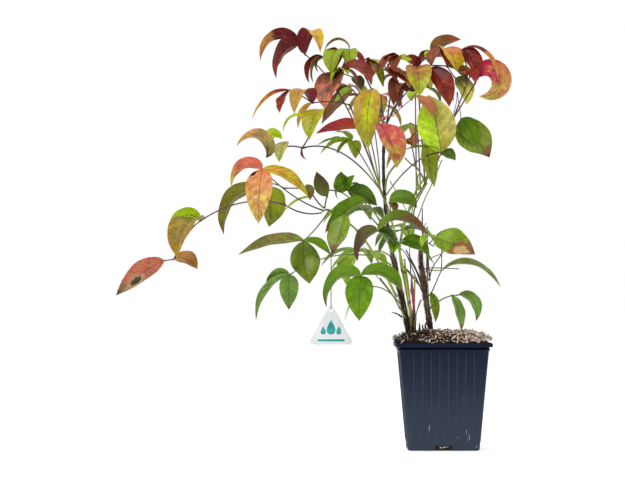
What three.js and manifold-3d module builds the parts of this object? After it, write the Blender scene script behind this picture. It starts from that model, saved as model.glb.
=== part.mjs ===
// Heavenly bamboo (nandina) in a square nursery pot: lengths in millimetres, +Z up, and the origin at
// the middle of the pot's flat underside. +X is to the right, and the plant faces -Y.
// Canes rise from the pot, and each frond of leaflets springs from one of them, a hair clear of it.
import * as THREE from "three";
import { mergeVertices } from "three/addons/utils/BufferGeometryUtils.js";
import Module from "manifold-3d";

const wasm = await Module();
wasm.setup();

const CLEARANCE = 0.3; // the gap between two nodes that touch

const POT = {
  height: 98.5,
  foot: 32.8, // half widths
  shoulder: 41.2,
  band: 41.5,
  lip: 44.6,
  lipDepth: 3.6,
  bandDepth: 1.9,
  shoulderDepth: 1.2,
  corner: 5,
  wall: 1.3,
  floor: 2,
  ribs: 8,
  ribPitch: 7.85,
  ribWidth: 0.9,
  ribProud: 0.35,
  notchWidth: 15.5,
  notchHeight: 4.5,
  notchDepth: 4,
};
const SOIL = { edge: 101.5, crown: 6.5, dome: 7, lumps: 1.6, seed: 7 }; // dome: how flat its top is
const TAG = {
  apex: [-103, 6.5, 134.8],
  width: 43.6,
  height: 38.5,
  thickness: 1,
  corner: 7, // how far its rounding reaches along each edge
  arcSteps: 5,
  hole: 2,
  holeDrop: 6,
  holeSides: 10,
};
const TIE = { radius: 0.4, loop: 2.2, top: 178.3, eye: 1.3 };

const STALK = { base: 0.9, tip: 0.65, knob: 1.35, sides: 3, steps: 3 }; // radii of a frond's stalks
const LEAF = {
  steps: 24, // along the midrib's curve
  perStation: 14, // mm of leaf for each of its cross-sections
  fold: 0.35, // how far the halves rise from the midrib, to their width
  thickness: 0.014, // to the length
  thinnest: 0.7,
  bend: 1.35, // over 1, the midrib bends more near its base than near its tip
  swell: 0.72, // the outline rises as this power of the distance from its base
  taper: 1.05, // and falls to its tip as this one
};

// Each cane or stalk: its points from the ground up, as [x, y, z, radius].
const LIMBS = {
  old_cane: [
    [-28, 0, 92, 4], [-30, -0.5, 105.5, 3.2], [-39.5, -2, 147.5, 2.4], [-51.5, 0, 211.5, 1.8],
    [-54.5, 2, 272.5, 1.5], [-50.5, 2, 306.5, 1.1],
  ],
  right_cane: [
    [-8.5, 2, 92, 3.6], [-10, 2, 106.5, 2.6], [-15, 2, 137.5, 2.5], [-16, 2, 150.5, 2.6],
    [-20, 3, 174.5, 2.1], [-18, 3, 196.5, 1.6],
  ],
  green_stalk: [
    [-27, -9, 92, 1.4], [-32.5, -12, 147, 1.2], [-47, -13, 209.5, 1], [-58.5, -14, 242.5, 0.9],
  ],
  right_stalk: [
    [-23.5, 8, 92, 1.3], [-33.5, 11, 148, 1.1], [-39, 11, 180.5, 1], [-34, 9, 212.5, 0.9],
    [-14.5, 4, 248.5, 0.9],
  ],
  reach_stalk: [
    [-42.5, -3.5, 140.5, 1.3], [-58, -10, 170.5, 1.2], [-78, -15, 200.5, 1.1], [-103, -19, 219.5, 1],
    [-111.5, -20, 219.5, 0.9],
  ],
  young_shoot: [[-26, -14, 92, 1.6], [-27, -14, 133, 1.3], [-28.5, -14, 147, 1.6], [-29, -14, 162, 0.4]],
  dead_stub: [[-20.5, -3, 92, 1.7], [-21, -3, 106.5, 1.4], [-21.5, -3, 116.5, 0.5]],
  dead_twig_left: [[-18, 3, 197, 0.8], [-18.5, 3, 210.5, 0.7], [-18.5, 3, 222.5, 0.4]],
  dead_twig_right: [[-11.5, 2, 155.5, 0.8], [-13.5, 1, 178.5, 0.7], [-14, 1, 205.5, 0.4]],
  dead_twig_low: [[-37.5, -3, 122, 0.9], [-42, -5, 125, 0.7], [-47, -7, 126.5, 0.4]],
};
const LIMB_SIDES = 6;
const LIMB_FINISH = {
  old_cane: "bark",
  right_cane: "bark",
  green_stalk: "stalk",
  right_stalk: "stalk",
  reach_stalk: "stalk",
  young_shoot: "shoot",
  dead_stub: "dead",
  dead_twig_left: "dead",
  dead_twig_right: "dead",
  dead_twig_low: "dead",
};
const PLANTED = ["old_cane", "right_cane", "green_stalk", "right_stalk", "young_shoot", "dead_stub"];

// Each frond springs from a limb, at a share of the limb's length, and its stalk runs through its joints.
// A joint is [the joint it comes from or -1, x, y, z, how far the stalk bows up on the way].
// A leaflet is [its joint, then how far its tip reaches to the right, forward and up, how far its
// midrib arches off the straight line, its width, and how far its blade is rolled, in degrees].
const FRONDS = {
  crest_left: {
    limb: "green_stalk", at: 0.985,
    joints: [[-1, -96.5, -2, 330, 6], [0, -127.5, 45, 368.5, 3], [1, -133.5, 45, 377, 0]],
    leaves: [
      [2, -35.5, 8, -15, 15.5, 13, 50],
      [2, -20.5, 14, -32, 8, 27, 50],
      [1, 14.5, 30, 0, 19.5, 18, 0],
    ],
  },
  left_second: {
    limb: "green_stalk", at: 0.95,
    joints: [[-1, -86, -41, 316, 0], [0, -120.5, -47, 317.5, 2], [1, -141, -50, 329, 1]],
    leaves: [
      [1, -16, 26, -11, 14.5, 18.5, 0],
      [2, -34, 4, -26, 6.5, 8, 25],
      [2, -9, 10, -21, 1.5, 19, 20],
      [1, -13, -6, -22.5, 4, 6.5, 30],
    ],
  },
  left_arch: {
    limb: "green_stalk", at: 0.999,
    joints: [
      [-1, -129.5, -57.5, 276, 14], [0, -161.5, -75, 267, 5], [0, -112, -62, 310.5, -2],
      [1, -143, -74, 281, 0], [2, -129, -62, 305.5, 0], [1, -160.5, -72, 282, 0],
    ],
    leaves: [
      [0, 4, 4, -10.5, -3.5, 3, 0],
      [1, -27, 8, 9.5, 15, 15, 35],
      [5, 12.5, -2, 1.5, 5, 12, 50],
      [3, -7, 9, -18.5, 3, 14, 0],
      [2, -11, 18, -27.5, 6, 21, 0],
      [4, -18, 2, -15.5, 5, 7, 20],
    ],
  },
  orange_trio: {
    limb: "reach_stalk", at: 0.995,
    joints: [[-1, -165.5, -78, 256, -5]],
    leaves: [
      [0, -27.5, 8, -16, 10.5, 16, 42],
      [0, -3, 18, -49.5, 6, 24.5, 0],
      [0, 41, 8, -24.5, 5.5, 16, 35],
    ],
  },
  far_reach: {
    limb: "reach_stalk", at: 1,
    joints: [
      [-1, -146.5, -14, 226, -4], [0, -223.5, 4, 211.5, 9], [1, -249.5, 22, 175.5, 5],
      [2, -258, 22, 174.5, 0],
    ],
    leaves: [
      [1, -29.5, -4, -3, 6, 15, 50],
      [1, -21, 27, -34.5, 12, 31, 0],
      [3, -44.5, 10, -32.5, 2.5, 22.5, 60],
      [2, 22.5, 14, -9, 4.5, 18, 35],
    ],
  },
  olive_upright: {
    limb: "reach_stalk", at: 0.97,
    joints: [[-1, -106.5, -15.5, 233.5, 2], [-1, -125, -20, 244, -3], [1, -121.5, -20, 232.5, 0]],
    leaves: [
      [0, -10, 5, 22.5, -1.5, 13.5, 60],
      [1, 2.5, 6, -14.5, 2, 9, 0],
      [2, -26, 4, -14.5, 3, 6.5, 20],
    ],
  },
  lower_left: {
    limb: "reach_stalk", at: 0.94,
    joints: [[-1, -128, -66, 192, -2]],
    leaves: [
      [0, -59, 8, -13, 5, 16, 40],
      [0, 24, 5, -13, 3, 14, 28],
      [0, 5, 18, -39, -8, 28, 0],
    ],
  },
  back_left: {
    limb: "old_cane", at: 0.5,
    joints: [
      [-1, -95, 2, 238.5, 4], [0, -147, 28, 242, 1], [1, -166.5, 34, 244.5, 3], [2, -167.5, 34, 240.5, 0],
    ],
    leaves: [
      [3, -35.5, 4, -41.5, 14.5, 23, 38],
      [2, 5.5, 6, -38.5, 6, 32, 0],
    ],
  },
  tag_stalk: {
    limb: "old_cane", at: 0.37,
    joints: [[-1, -79.5, 5.5, 179.5, 3], [0, -141.5, 8, 161, 6]],
    leaves: [
      [0, -8, -8, -29.5, 4.5, 17, 0],
      [1, -0.5, 12, -32, 3, 18, 0],
      [1, -31, 2, -41.5, 8, 15, 30],
      [1, -20, 0, -14.5, 6, 14, 40],
    ],
  },
  low_trio: {
    limb: "old_cane", at: 0.34,
    joints: [[-1, -76.5, -62, 159.5, 10]],
    leaves: [
      [0, -31, 8, -27.5, 13, 21.5, 38],
      [0, -1.5, 14, -40, 5, 25.5, 0],
      [0, 37.5, 10, -14.5, 9.5, 22, 30],
    ],
  },
  low_shoot: {
    limb: "old_cane", at: 0.2,
    joints: [[-1, -69, -28, 149.5, 6]],
    leaves: [
      [0, -21.5, 2, -30, 4, 7, 0],
    ],
  },
  mid_left: {
    limb: "old_cane", at: 0.53,
    joints: [[-1, -87.5, 40, 240.5, 4]],
    leaves: [
      [0, -6, 6, 17.5, -2, 19, 80],
      [0, -9, 4, -8.5, 6.5, 9, 10],
      [0, 14, -5, 1, 5, 11, 0],
      [0, 28, -8, -14.5, 3, 17, -60],
      [0, 6.5, 6, 14, 1, 11, 75],
    ],
  },
  big_left: {
    limb: "old_cane", at: 0.48,
    joints: [[-1, -71, -26, 229, 3], [0, -91, -34, 216.5, 2]],
    leaves: [
      [0, -37.5, 8, -29.5, 3, 26, 40],
      [1, -11.5, 18, -36.5, -2, 23, 0],
      [1, -6.5, -2, -34.5, 3, 6, 0],
    ],
  },
  mid_arch: {
    limb: "old_cane", at: 0.44,
    joints: [[-1, -60.5, -45, 201, 2]],
    leaves: [
      [0, -18.5, 6, -27.5, 6, 26, 38],
      [0, 16.5, -4, -13.5, 2.5, 18, 35],
      [0, 44, 6, -4, 12.5, 20, 30],
    ],
  },
  mid_right: {
    limb: "green_stalk", at: 0.82,
    joints: [[-1, -49.5, -28, 227, 2]],
    leaves: [
      [0, 24.5, 8, -5, 6, 18, 45],
      [0, 4.5, 8, -10.5, 3, 9, 0],
    ],
  },
  stalk_leaves: {
    limb: "right_stalk", at: 0.56,
    joints: [[-1, -39, -30, 190, 2]],
    leaves: [
      [0, -8, 14, -10.5, 4.5, 14, 0],
      [0, 25.5, 6, -11, 5, 15, 55],
      [0, 30, -5, -19, 4.5, 10, 30],
    ],
  },
  right_blotch: {
    limb: "right_cane", at: 0.97,
    joints: [[-1, -10, -53, 194.5, -4]],
    leaves: [
      [0, 37, 10, -15, 1, 29, 50],
      [0, -10.5, -10, -8, 4.5, 12, 0],
    ],
  },
  right_arch: {
    limb: "right_cane", at: 0.72,
    joints: [[-1, 2, 45, 165.5, -1]],
    leaves: [
      [0, 54, 4, -16, 12.5, 16, 20],
    ],
  },
  right_low: {
    limb: "right_cane", at: 0.36,
    joints: [[-1, 8, -23, 142, 2], [0, 13.5, -25, 142.5, 0]],
    leaves: [
      [0, 8, 8, -32.5, 2.5, 13.5, 0],
      [1, 16, 6, -23.5, 8, 14, 30],
    ],
  },
  right_low_leaf: {
    limb: "right_cane", at: 0.45,
    joints: [[-1, -10, 16, 144.5, 0]],
    leaves: [
      [0, 4, 4, -27.5, 2.5, 8.5, 40],
    ],
  },
  right_pair: {
    limb: "right_stalk", at: 0.96,
    joints: [[-1, 11, 18, 294.5, 0], [0, 18.5, 18, 307, 0]],
    leaves: [
      [1, 12.5, 8, -26.5, 2, 18, 55],
      [0, 33.5, 0, -24, 5, 34, 65],
    ],
  },
  right_curl: {
    limb: "right_stalk", at: 0.985,
    joints: [
      [-1, 9, -24.5, 304.5, 2], [0, 28.5, -34, 336, 0], [0, 24, -36, 343, 0], [2, 17, -30, 368, -2],
      [1, 31.5, -34, 341.5, 0],
    ],
    leaves: [
      [4, 1, 0, -17, 19, 21, 70],
      [3, 32, 16, -28.5, 11, 7, 20],
      [3, 13, 6, -28, 4.5, 17, 45],
      [2, -10.5, 2, 6, 2, 9, 0],
      [2, -10, 0, 9, 2, 7, 30],
      [1, -13.5, 0, 10.5, 3, 9, 20],
      [2, 2.5, 4, -4, 6, 12, 10],
    ],
  },
  lime_pair: {
    limb: "green_stalk", at: 0.93,
    joints: [[-1, -4.5, -74, 271.5, 9], [0, -16, -56, 285, 0]],
    leaves: [
      [0, -11, -18, 53, 3, 35, -37],
      [1, 6, 14, -44.5, -4, 16.5, 0],
      [0, 13, 6, -7.5, 1, 15, 30],
      [0, -34.5, -4, 1.5, 4, 7, 10],
    ],
  },
  coral_fall: {
    limb: "old_cane", at: 0.97,
    joints: [[-1, -61, -87, 297, 3]],
    leaves: [
      [0, 16, 20, -41, 5, 31, 0],
      [0, 15, 6, 6, 2, 6, 0],
    ],
  },
  yellow_fall: {
    limb: "old_cane", at: 0.93,
    joints: [[-1, -65.5, -69.5, 329, 5], [0, -73, -66, 295, 0]],
    leaves: [
      [0, -4.5, 12, -55, 8.5, 25.5, 0],
      [1, -44, 6, -6.5, 3.5, 14, 45],
    ],
  },
  brown_left: {
    limb: "old_cane", at: 0.9,
    joints: [[-1, -82.5, 30, 334, 4]],
    leaves: [
      [0, -29, 4, -32, 3, 15, 55],
      [0, -18, 12, -14, 2, 12, 45],
      [0, -15, -6, -6, 4, 9, 20],
    ],
  },
  green_back_left: {
    limb: "green_stalk", at: 0.9,
    joints: [[-1, -84, 46, 287, 4]],
    leaves: [
      [0, -28.5, 5, -12, 4.5, 9, 30],
      [0, -13, 8, -12.5, 2, 10, 0],
      [0, 4, 12, -17, 3.5, 13.5, 0],
      [0, -31.5, -8, -3.5, 3.5, 11, 0],
      [0, -15, -14, 8.5, 3.5, 11, 0],
    ],
  },
  top_left_centre: {
    limb: "old_cane", at: 0.99,
    joints: [
      [-1, -86, 8, 370, 4], [0, -110, 8, 362.5, 3], [0, -94.5, -6, 348, 0], [0, -97, 6, 370, 0],
      [2, -82.5, 2, 344, 0],
    ],
    leaves: [
      [3, -5.5, 14, -23.5, 6, 18, 0],
      [0, 0, 10, -16.5, 5, 15, 0],
      [0, -23, -4, 0, 9, 6, 20],
      [1, -13, 2, -23.5, 7.5, 11, 40],
      [1, -9.5, 6, -23.5, 6, 12, 40],
      [2, -14.5, 18, -34.5, 5, 31, 0],
      [2, 13.5, 4, -11.5, 6, 14, 0],
      [2, 28.5, 10, -12.5, 10.5, 16, 35],
      [1, -5, 2, -13.5, 4, 7, 0],
      [2, 7, 12, -3, 4, 10, 0],
      [0, -15, 12, -32.5, 5, 8, 0],
      [4, 7.5, 9, -12, 2, 12, 20],
      [0, 11.5, 4, -23, 5, 9, 20],
      [2, -8, 12, -11.5, 5, 9, 30],
      [3, -8.5, 2, -16.5, 5, 12, 20],
    ],
  },
  top_centre: {
    limb: "old_cane", at: 1,
    joints: [
      [-1, -44, 49, 347.5, 3], [0, -66.5, 49, 363.5, 4], [0, -40.5, 38, 364, 0], [0, -36, 47, 338, 0],
      [0, -52, 46, 354, 0],
    ],
    leaves: [
      [1, 12.5, 6, -26, 2.5, 10, 30],
      [1, 11.5, 6, -6.5, 1, 12, 0],
      [0, 0, 6, -27.5, 3, 11, 0],
      [0, -12.5, 4, 2.5, 5, 12, 0],
      [3, 13, 4, -6.5, 2, 12, 60],
      [2, 13, 2, -6.5, 2.5, 11, 30],
      [2, -15, 12, -12.5, 5, 16, 0],
      [2, -3.5, 14, -13.5, 6, 13, 0],
      [0, 13.5, 8, -5.5, 5, 13, 0],
      [0, -9, 2, -9, 4, 11, 10],
      [2, -9, 6, -13, 3, 10, 20],
      [0, 10.5, 6, -1.5, 4, 11, 20],
      [0, 15, 8, -11, 5, 13, 30],
      [2, -15, 4, -8, 4, 13, 20],
      [4, 18.5, 8, -7, 3, 9, 20],
      [4, 10.5, 10, -11, 3, 10, 20],
      [3, -3, 6, -20.5, 1.5, 7, 0],
      [1, -7, 6, -9.5, 3, 9, 20],
      [1, 2, 7, -17.5, 2, 12, 10],
    ],
  },
  top_right: {
    limb: "right_stalk", at: 1,
    joints: [
      [-1, -24.5, -18, 352.5, 2], [0, -11, -10.5, 367.5, 2], [0, -1.5, -16, 368.5, 2],
      [0, -12.5, -20, 351, 1], [0, 3.5, -18, 353, 1], [0, -13, -8, 333.5, 0], [4, 11, -18, 342, 0],
    ],
    leaves: [
      [0, 2, 26, -28.5, 7, 24, 0],
      [3, 17.5, 10, -36, 5, 20, 45],
      [0, -10.5, 4, 9, 4, 9, 20],
      [1, 28, -6, 11, 4, 12.5, 60],
      [1, -0.5, 3, -12, 3, 11, 0],
      [2, 13, 15, -21, 6, 29, 0],
      [6, 10.5, 4, -24.5, 4, 18, 40],
      [2, -9.5, 9, -16, 4, 15, 0],
      [5, 10.5, -2, -16.5, 3, 11, 0],
      [4, -14, 0, 5, 7, 13, 20],
      [1, -12.5, -2, -11, 0.5, 11, 30],
      [4, 17.5, 2, -15.5, 5, 13, 40],
      [0, -7, 8, 3, 4, 12, 20],
      [2, 5, 8, -16.5, 3, 12, 0],
    ],
  },
  rose_fold: {
    limb: "right_stalk", at: 0.9,
    joints: [[-1, -27, -64, 323.5, 2]],
    leaves: [
      [0, 15.5, 14, -19.5, 1.5, 22, 0],
      [0, -5, 6, -4.5, 4, 9, 0],
    ],
  },
  fork_leaves: {
    limb: "right_stalk", at: 0.93,
    joints: [[-1, -28.5, 6, 282, 4]],
    leaves: [
      [0, -0.5, 4, 2, 6.5, 14, 30],
      [0, 7.5, 2, 13, 2, 7, 0],
    ],
  },
};

// Fronds that fill the crown behind: heading in degrees from +X towards +Y, reach and rise in millimetres.
const BACK_FRONDS = {
  back_crown_left: { limb: "old_cane", at: 0.96, heading: 112, reach: 88, rise: 42, seed: 11 },
  back_crown_right: { limb: "old_cane", at: 0.985, heading: 66, reach: 92, rise: 46, seed: 23 },
  back_crown_middle: { limb: "old_cane", at: 0.92, heading: 92, reach: 76, rise: 42, seed: 37 },
  back_shoulder: { limb: "right_stalk", at: 0.94, heading: 92, reach: 64, rise: 62, seed: 41 },
  back_waist: { limb: "old_cane", at: 0.55, heading: 112, reach: 70, rise: 16, seed: 53 },
  back_waist_right: { limb: "right_stalk", at: 0.62, heading: 84, reach: 58, rise: 14, seed: 61 },
  back_skirt: { limb: "old_cane", at: 0.4, heading: 118, reach: 66, rise: 6, seed: 71 },
};
const BACK_LEAF = {
  joints: [0.68, 1], // shares of the reach
  fans: [[-65, 65], [-50, 5, 55]], // how far each joint's leaflets turn from the heading
  bow: 4,
  shortest: 30,
  spread: 12,
  stray: 20,
  fall: [0.25, 0.75],
  arch: 0.16, // to the length, as the width is
  width: 0.4,
  roll: 25,
};

const COLOURS = {
  pot: 0x2e3442,
  soil: 0x6b4a36,
  tag: 0xf2f4f4,
  tie: 0x2c2a2a,
  bark: 0x55402f,
  stalk: 0x6d7a3a,
  shoot: 0xa8345a,
  dead: 0x6e6053,
  red: 0x8c3434,
  gold: 0xb99a3a,
  green: 0x4f8a22,
};
// Young growth at the top is red, and it turns through yellow to green further down.
const RED_ABOVE = 323;
const GOLD_ABOVE = 253;

const UP = new THREE.Vector3(0, 0, 1);
const vector = (x, y, z) => new THREE.Vector3(x, y, z);

/** Numbers from 0 to 1 that are the same on every run. */
function seeded(seed) {
  let state = seed;
  return () => (state = (state * 16807) % 2147483647) / 2147483647;
}

// ---- solids ----

function solidOf(geometry) {
  const bare = geometry.clone();
  bare.deleteAttribute("normal");
  bare.deleteAttribute("uv");
  const merged = mergeVertices(bare, 1e-4);
  return new wasm.Manifold(
    new wasm.Mesh({
      numProp: 3,
      vertProperties: merged.attributes.position.array,
      triVerts: new Uint32Array(merged.index.array),
    }),
  );
}

function solidFrom(points, faces) {
  const geometry = new THREE.BufferGeometry();
  const numbers = points.flatMap((p) => p.toArray());
  geometry.setAttribute("position", new THREE.Float32BufferAttribute(numbers, 3));
  geometry.setIndex(faces);
  return solidOf(geometry);
}

function joined(solids) {
  return solids.reduce((whole, piece) => whole.add(piece));
}

/** The solid without any loose scrap that a cut or a join has left. */
function largestPiece(solid) {
  return solid.decompose().reduce((a, b) => (a.volume() > b.volume() ? a : b));
}

/** The solid through a stack of rings, each the same number of points, anticlockwise seen from ahead. */
function loft(rings) {
  const sides = rings[0].length;
  const last = (rings.length - 1) * sides;
  const faces = [];
  for (let i = 0; i < rings.length - 1; i++) {
    for (let k = 0; k < sides; k++) {
      const a = i * sides + k;
      const b = i * sides + ((k + 1) % sides);
      faces.push(a, b, b + sides, a, b + sides, a + sides);
    }
  }
  for (let k = 1; k < sides - 1; k++) faces.push(0, k + 1, k, last, last + k, last + k + 1);
  return solidFrom(rings.flat(), faces);
}

/** A closed tube along a curve, with radiusAt(t) from t = 0 to 1. */
function tube(curve, radiusAt, sides, steps) {
  const { normals, binormals } = curve.computeFrenetFrames(steps, false);
  const rings = normals.map((normal, i) => {
    const t = i / steps;
    const centre = curve.getPointAt(t);
    return Array.from({ length: sides }, (_, k) => {
      const angle = (2 * Math.PI * k) / sides;
      return centre
        .clone()
        .addScaledVector(normal, radiusAt(t) * Math.cos(angle))
        .addScaledVector(binormals[i], radiusAt(t) * Math.sin(angle));
    });
  });
  return loft(rings);
}

function box(x0, x1, y0, y1, z0, z1) {
  const geometry = new THREE.BoxGeometry(x1 - x0, y1 - y0, z1 - z0);
  return solidOf(geometry.translate((x0 + x1) / 2, (y0 + y1) / 2, (z0 + z1) / 2));
}

/** A square ring with round corners, at height z. */
function squareRing(half, corner, z, arcSteps = 3) {
  const points = [];
  for (let quarter = 0; quarter < 4; quarter++) {
    for (let k = 0; k <= arcSteps; k++) {
      const angle = ((quarter + k / arcSteps) * Math.PI) / 2;
      const sx = quarter === 0 || quarter === 3 ? 1 : -1;
      const sy = quarter < 2 ? 1 : -1;
      const inset = half - corner;
      points.push(vector(sx * inset + corner * Math.cos(angle), sy * inset + corner * Math.sin(angle), z));
    }
  }
  return points;
}

// ---- pot, soil and tag ----

const bandTop = POT.height - POT.lipDepth;
const bandFoot = bandTop - POT.bandDepth;
const bodyTop = bandFoot - POT.shoulderDepth;

/** The pot wall's half width, outside, at height z on its tapering body. */
const wallAt = (z) => POT.foot + ((POT.shoulder - POT.foot) * z) / bodyTop;

function potSolid() {
  const outside = loft([
    squareRing(POT.foot, POT.corner, 0),
    squareRing(POT.shoulder, POT.corner, bodyTop),
    squareRing(POT.shoulder + 1, POT.corner, bandFoot),
    squareRing(POT.band, POT.corner, bandFoot + 0.4),
    squareRing(POT.band, POT.corner, bandTop - 0.4),
    squareRing(POT.lip, POT.corner, bandTop),
    squareRing(POT.lip, POT.corner, POT.height),
  ]);
  const inside = loft([
    squareRing(wallAt(POT.floor) - POT.wall, POT.corner - POT.wall, POT.floor),
    squareRing(POT.band - POT.wall, POT.corner - POT.wall, bodyTop),
    squareRing(POT.band - POT.wall, POT.corner - POT.wall, bandTop + POT.wall / 2),
    squareRing(POT.lip - POT.wall, POT.corner - POT.wall, POT.height),
    squareRing(POT.lip - POT.wall, POT.corner - POT.wall, POT.height + 1),
  ]);
  let pot = outside.subtract(inside);
  for (let side = 0; side < 4; side++) {
    const turned = (piece) => piece.rotate([0, 0, 90 * side]);
    const half = POT.notchWidth / 2;
    const outer = POT.foot + 1;
    pot = pot.subtract(turned(box(-half, half, -outer, -outer + POT.notchDepth, -1, POT.notchHeight)));
    for (let k = 0; k < POT.ribs; k++) {
      pot = pot.add(turned(ribSolid((k - (POT.ribs - 1) / 2) * POT.ribPitch)));
    }
  }
  return pot;
}

/** One upright rib on the pot's front, x from its middle: a thin wedge that follows the wall. */
function ribSolid(x) {
  const foot = POT.notchHeight + 2.5;
  const head = bodyTop - 0.5;
  const ring = (z) => {
    const face = -wallAt(z);
    const half = POT.ribWidth / 2;
    return [
      vector(x - half, face + 0.4, z),
      vector(x, face - POT.ribProud, z),
      vector(x + half, face + 0.4, z),
    ];
  };
  return loft([ring(foot), ring(head)]);
}

/** Bark mulch that fills the pot and heaps up in the middle, lumpy, with sockets for the canes. */
function soilSolid(sockets) {
  const random = seeded(SOIL.seed);
  const gap = POT.wall + CLEARANCE;
  const corner = POT.corner - gap;
  const inner = POT.band - gap;
  const rings = [
    squareRing(wallAt(POT.floor + CLEARANCE) - gap, corner, POT.floor + CLEARANCE),
    squareRing(inner, corner, bodyTop),
    squareRing(inner, corner, SOIL.edge),
  ];
  for (const share of [0.85, 0.62, 0.38, 0.16]) {
    const half = inner * share;
    const height = SOIL.edge + SOIL.crown * (1 - share ** SOIL.dome);
    const ring = squareRing(half, half * 0.5, height);
    rings.push(ring.map((p) => vector(p.x, p.y, p.z + (random() - 0.5) * 2 * SOIL.lumps)));
  }
  return sockets.reduce((soil, socket) => soil.subtract(socket), loft(rings));
}

/** The hanging label: a plate in the shape of a triangle with round corners and a hole at its top. */
function tagSolid() {
  const apex = new THREE.Vector2(0, 0);
  const right = new THREE.Vector2(TAG.width / 2, -TAG.height);
  const left = new THREE.Vector2(-TAG.width / 2, -TAG.height);
  const towards = (from, to) => from.clone().add(to.clone().sub(from).setLength(TAG.corner));
  const turns = [[left, apex, right], [apex, right, left], [right, left, apex]];
  const outline = turns.flatMap(([from, corner, to]) => {
    const arc = new THREE.QuadraticBezierCurve(towards(corner, from), corner, towards(corner, to));
    return arc.getPoints(TAG.arcSteps);
  });
  const depth = TAG.thickness;
  const plate = new THREE.ExtrudeGeometry(new THREE.Shape(outline), { depth, bevelEnabled: false });
  const drill = new THREE.CylinderGeometry(TAG.hole, TAG.hole, 3 * depth, TAG.holeSides);
  return solidOf(plate.rotateX(Math.PI / 2).translate(0, depth / 2, 0)).subtract(
    solidOf(drill.translate(0, 0, -TAG.holeDrop)),
  );
}

/** The label's tie: a loop round the stalk that it hangs from, a straight run, and an eye in the hole. */
function tieSolid() {
  const eyeRadius = TAG.hole + TIE.eye;
  const eyeHeight = -TAG.holeDrop + eyeRadius;
  const loopHeight = TIE.top - TAG.apex[2];
  const ring = (radius, z) => {
    const torus = new THREE.TorusGeometry(radius, TIE.radius, 4, 10);
    return solidOf(torus.rotateY(Math.PI / 2).translate(0, 0, z));
  };
  const foot = vector(0, 0, eyeHeight + eyeRadius);
  const run = new THREE.LineCurve3(foot, vector(0, 0, loopHeight - TIE.loop));
  return joined([
    ring(eyeRadius, eyeHeight),
    tube(run, () => TIE.radius, 5, 2),
    ring(TIE.loop, loopHeight),
  ]);
}

// ---- canes and stalks ----

/** The place, direction and radius of a limb at a share of its length. */
function limbAt(rows, share) {
  const places = rows.map(([x, y, z]) => vector(x, y, z));
  const curve = new THREE.CatmullRomCurve3(places, false, "catmullrom", 0.5);
  const t = curve.getUtoTmapping(share);
  const along = t * (rows.length - 1);
  const i = Math.min(Math.floor(along), rows.length - 2);
  const radius = THREE.MathUtils.lerp(rows[i][3], rows[i + 1][3], along - i);
  return { curve, centre: curve.getPoint(t), tangent: curve.getTangent(t), radius };
}

function limbSolid(rows, grown = 0) {
  const fatter = rows.map(([x, y, z, radius], i) => [x, y, z - (i === 0 ? grown : 0), radius + grown]);
  const { curve } = limbAt(fatter, 0);
  return tube(curve, (share) => limbAt(fatter, share).radius, LIMB_SIDES, 2 * (rows.length - 1));
}

// ---- fronds ----

/** A leaflet's midrib from its base: an arc that bends most where it leaves the stalk. */
function midrib(reach, arch) {
  const chord = reach.length();
  const along = reach.clone().normalize();
  const side = UP.clone().cross(vector(reach.x, reach.y, 0).normalize());
  const lift = along.clone().cross(side);
  const turn = 4 * Math.atan((2 * arch) / chord);
  const flat = [new THREE.Vector2(0, 0)];
  for (let k = 0; k < LEAF.steps; k++) {
    const heading = turn * ((1 - (k + 0.5) / LEAF.steps) ** LEAF.bend - 0.5);
    flat.push(flat[k].clone().add(new THREE.Vector2(Math.cos(heading), Math.sin(heading))));
  }
  const end = flat[LEAF.steps];
  const scale = chord / end.length();
  const level = -end.angle();
  const points = flat.map((p) => {
    const q = p.clone().rotateAround(new THREE.Vector2(), level).multiplyScalar(scale);
    return vector(0, 0, 0).addScaledVector(along, q.x).addScaledVector(lift, q.y);
  });
  return { points, side, length: scale * LEAF.steps };
}

/** How wide a leaflet is, as a share of its widest, from its base at 0 to its drawn-out tip at 1. */
function outline(t) {
  const widest = LEAF.swell / (LEAF.swell + LEAF.taper);
  return (t / widest) ** LEAF.swell * ((1 - t) / (1 - widest)) ** LEAF.taper;
}

/** A leaflet: a thin blade, folded up a little on each side of its midrib, with sharp edges. */
function leafSolid(base, reach, arch, width, roll) {
  const { points, side, length } = midrib(reach, arch);
  const stations = Math.max(3, Math.round(length / LEAF.perStation));
  const half = Math.max(LEAF.thinnest, length * LEAF.thickness) / 2;
  const turned = THREE.MathUtils.degToRad(roll);
  const vertices = [base.clone()];
  const faces = [];
  for (let i = 0; i < stations; i++) {
    const k = Math.round((LEAF.steps * (i + 0.4)) / (stations + 0.1));
    const tangent = points[k + 1].clone().sub(points[k - 1]).normalize();
    const across = side.clone().applyAxisAngle(tangent, turned);
    const normal = tangent.clone().cross(across);
    const centre = base.clone().add(points[k]);
    const reachOut = (width / 2) * outline(k / LEAF.steps);
    const place = (out, up) => centre.clone().addScaledVector(across, out).addScaledVector(normal, up);
    const lifted = reachOut * LEAF.fold;
    vertices.push(place(reachOut, lifted), place(0, half), place(-reachOut, lifted), place(0, -half));
  }
  const tip = vertices.push(base.clone().add(reach)) - 1;
  for (let k = 0; k < 4; k++) {
    const next = (k + 1) % 4;
    faces.push(0, 1 + next, 1 + k);
    for (let i = 0; i < stations - 1; i++) {
      const a = 1 + 4 * i + k;
      const b = 1 + 4 * i + next;
      faces.push(a, b, b + 4, a, b + 4, a + 4);
    }
    faces.push(tip - 4 + k, tip - 4 + next, tip);
  }
  return solidFrom(vertices, faces);
}

/** A stalk's curve from one point to another, bowed upwards in its middle. */
function stalkCurve(from, to, bow) {
  const control = from.clone().add(to).divideScalar(2).addScaledVector(UP, 2 * bow);
  return new THREE.QuadraticBezierCurve3(from, control, to);
}

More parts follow.
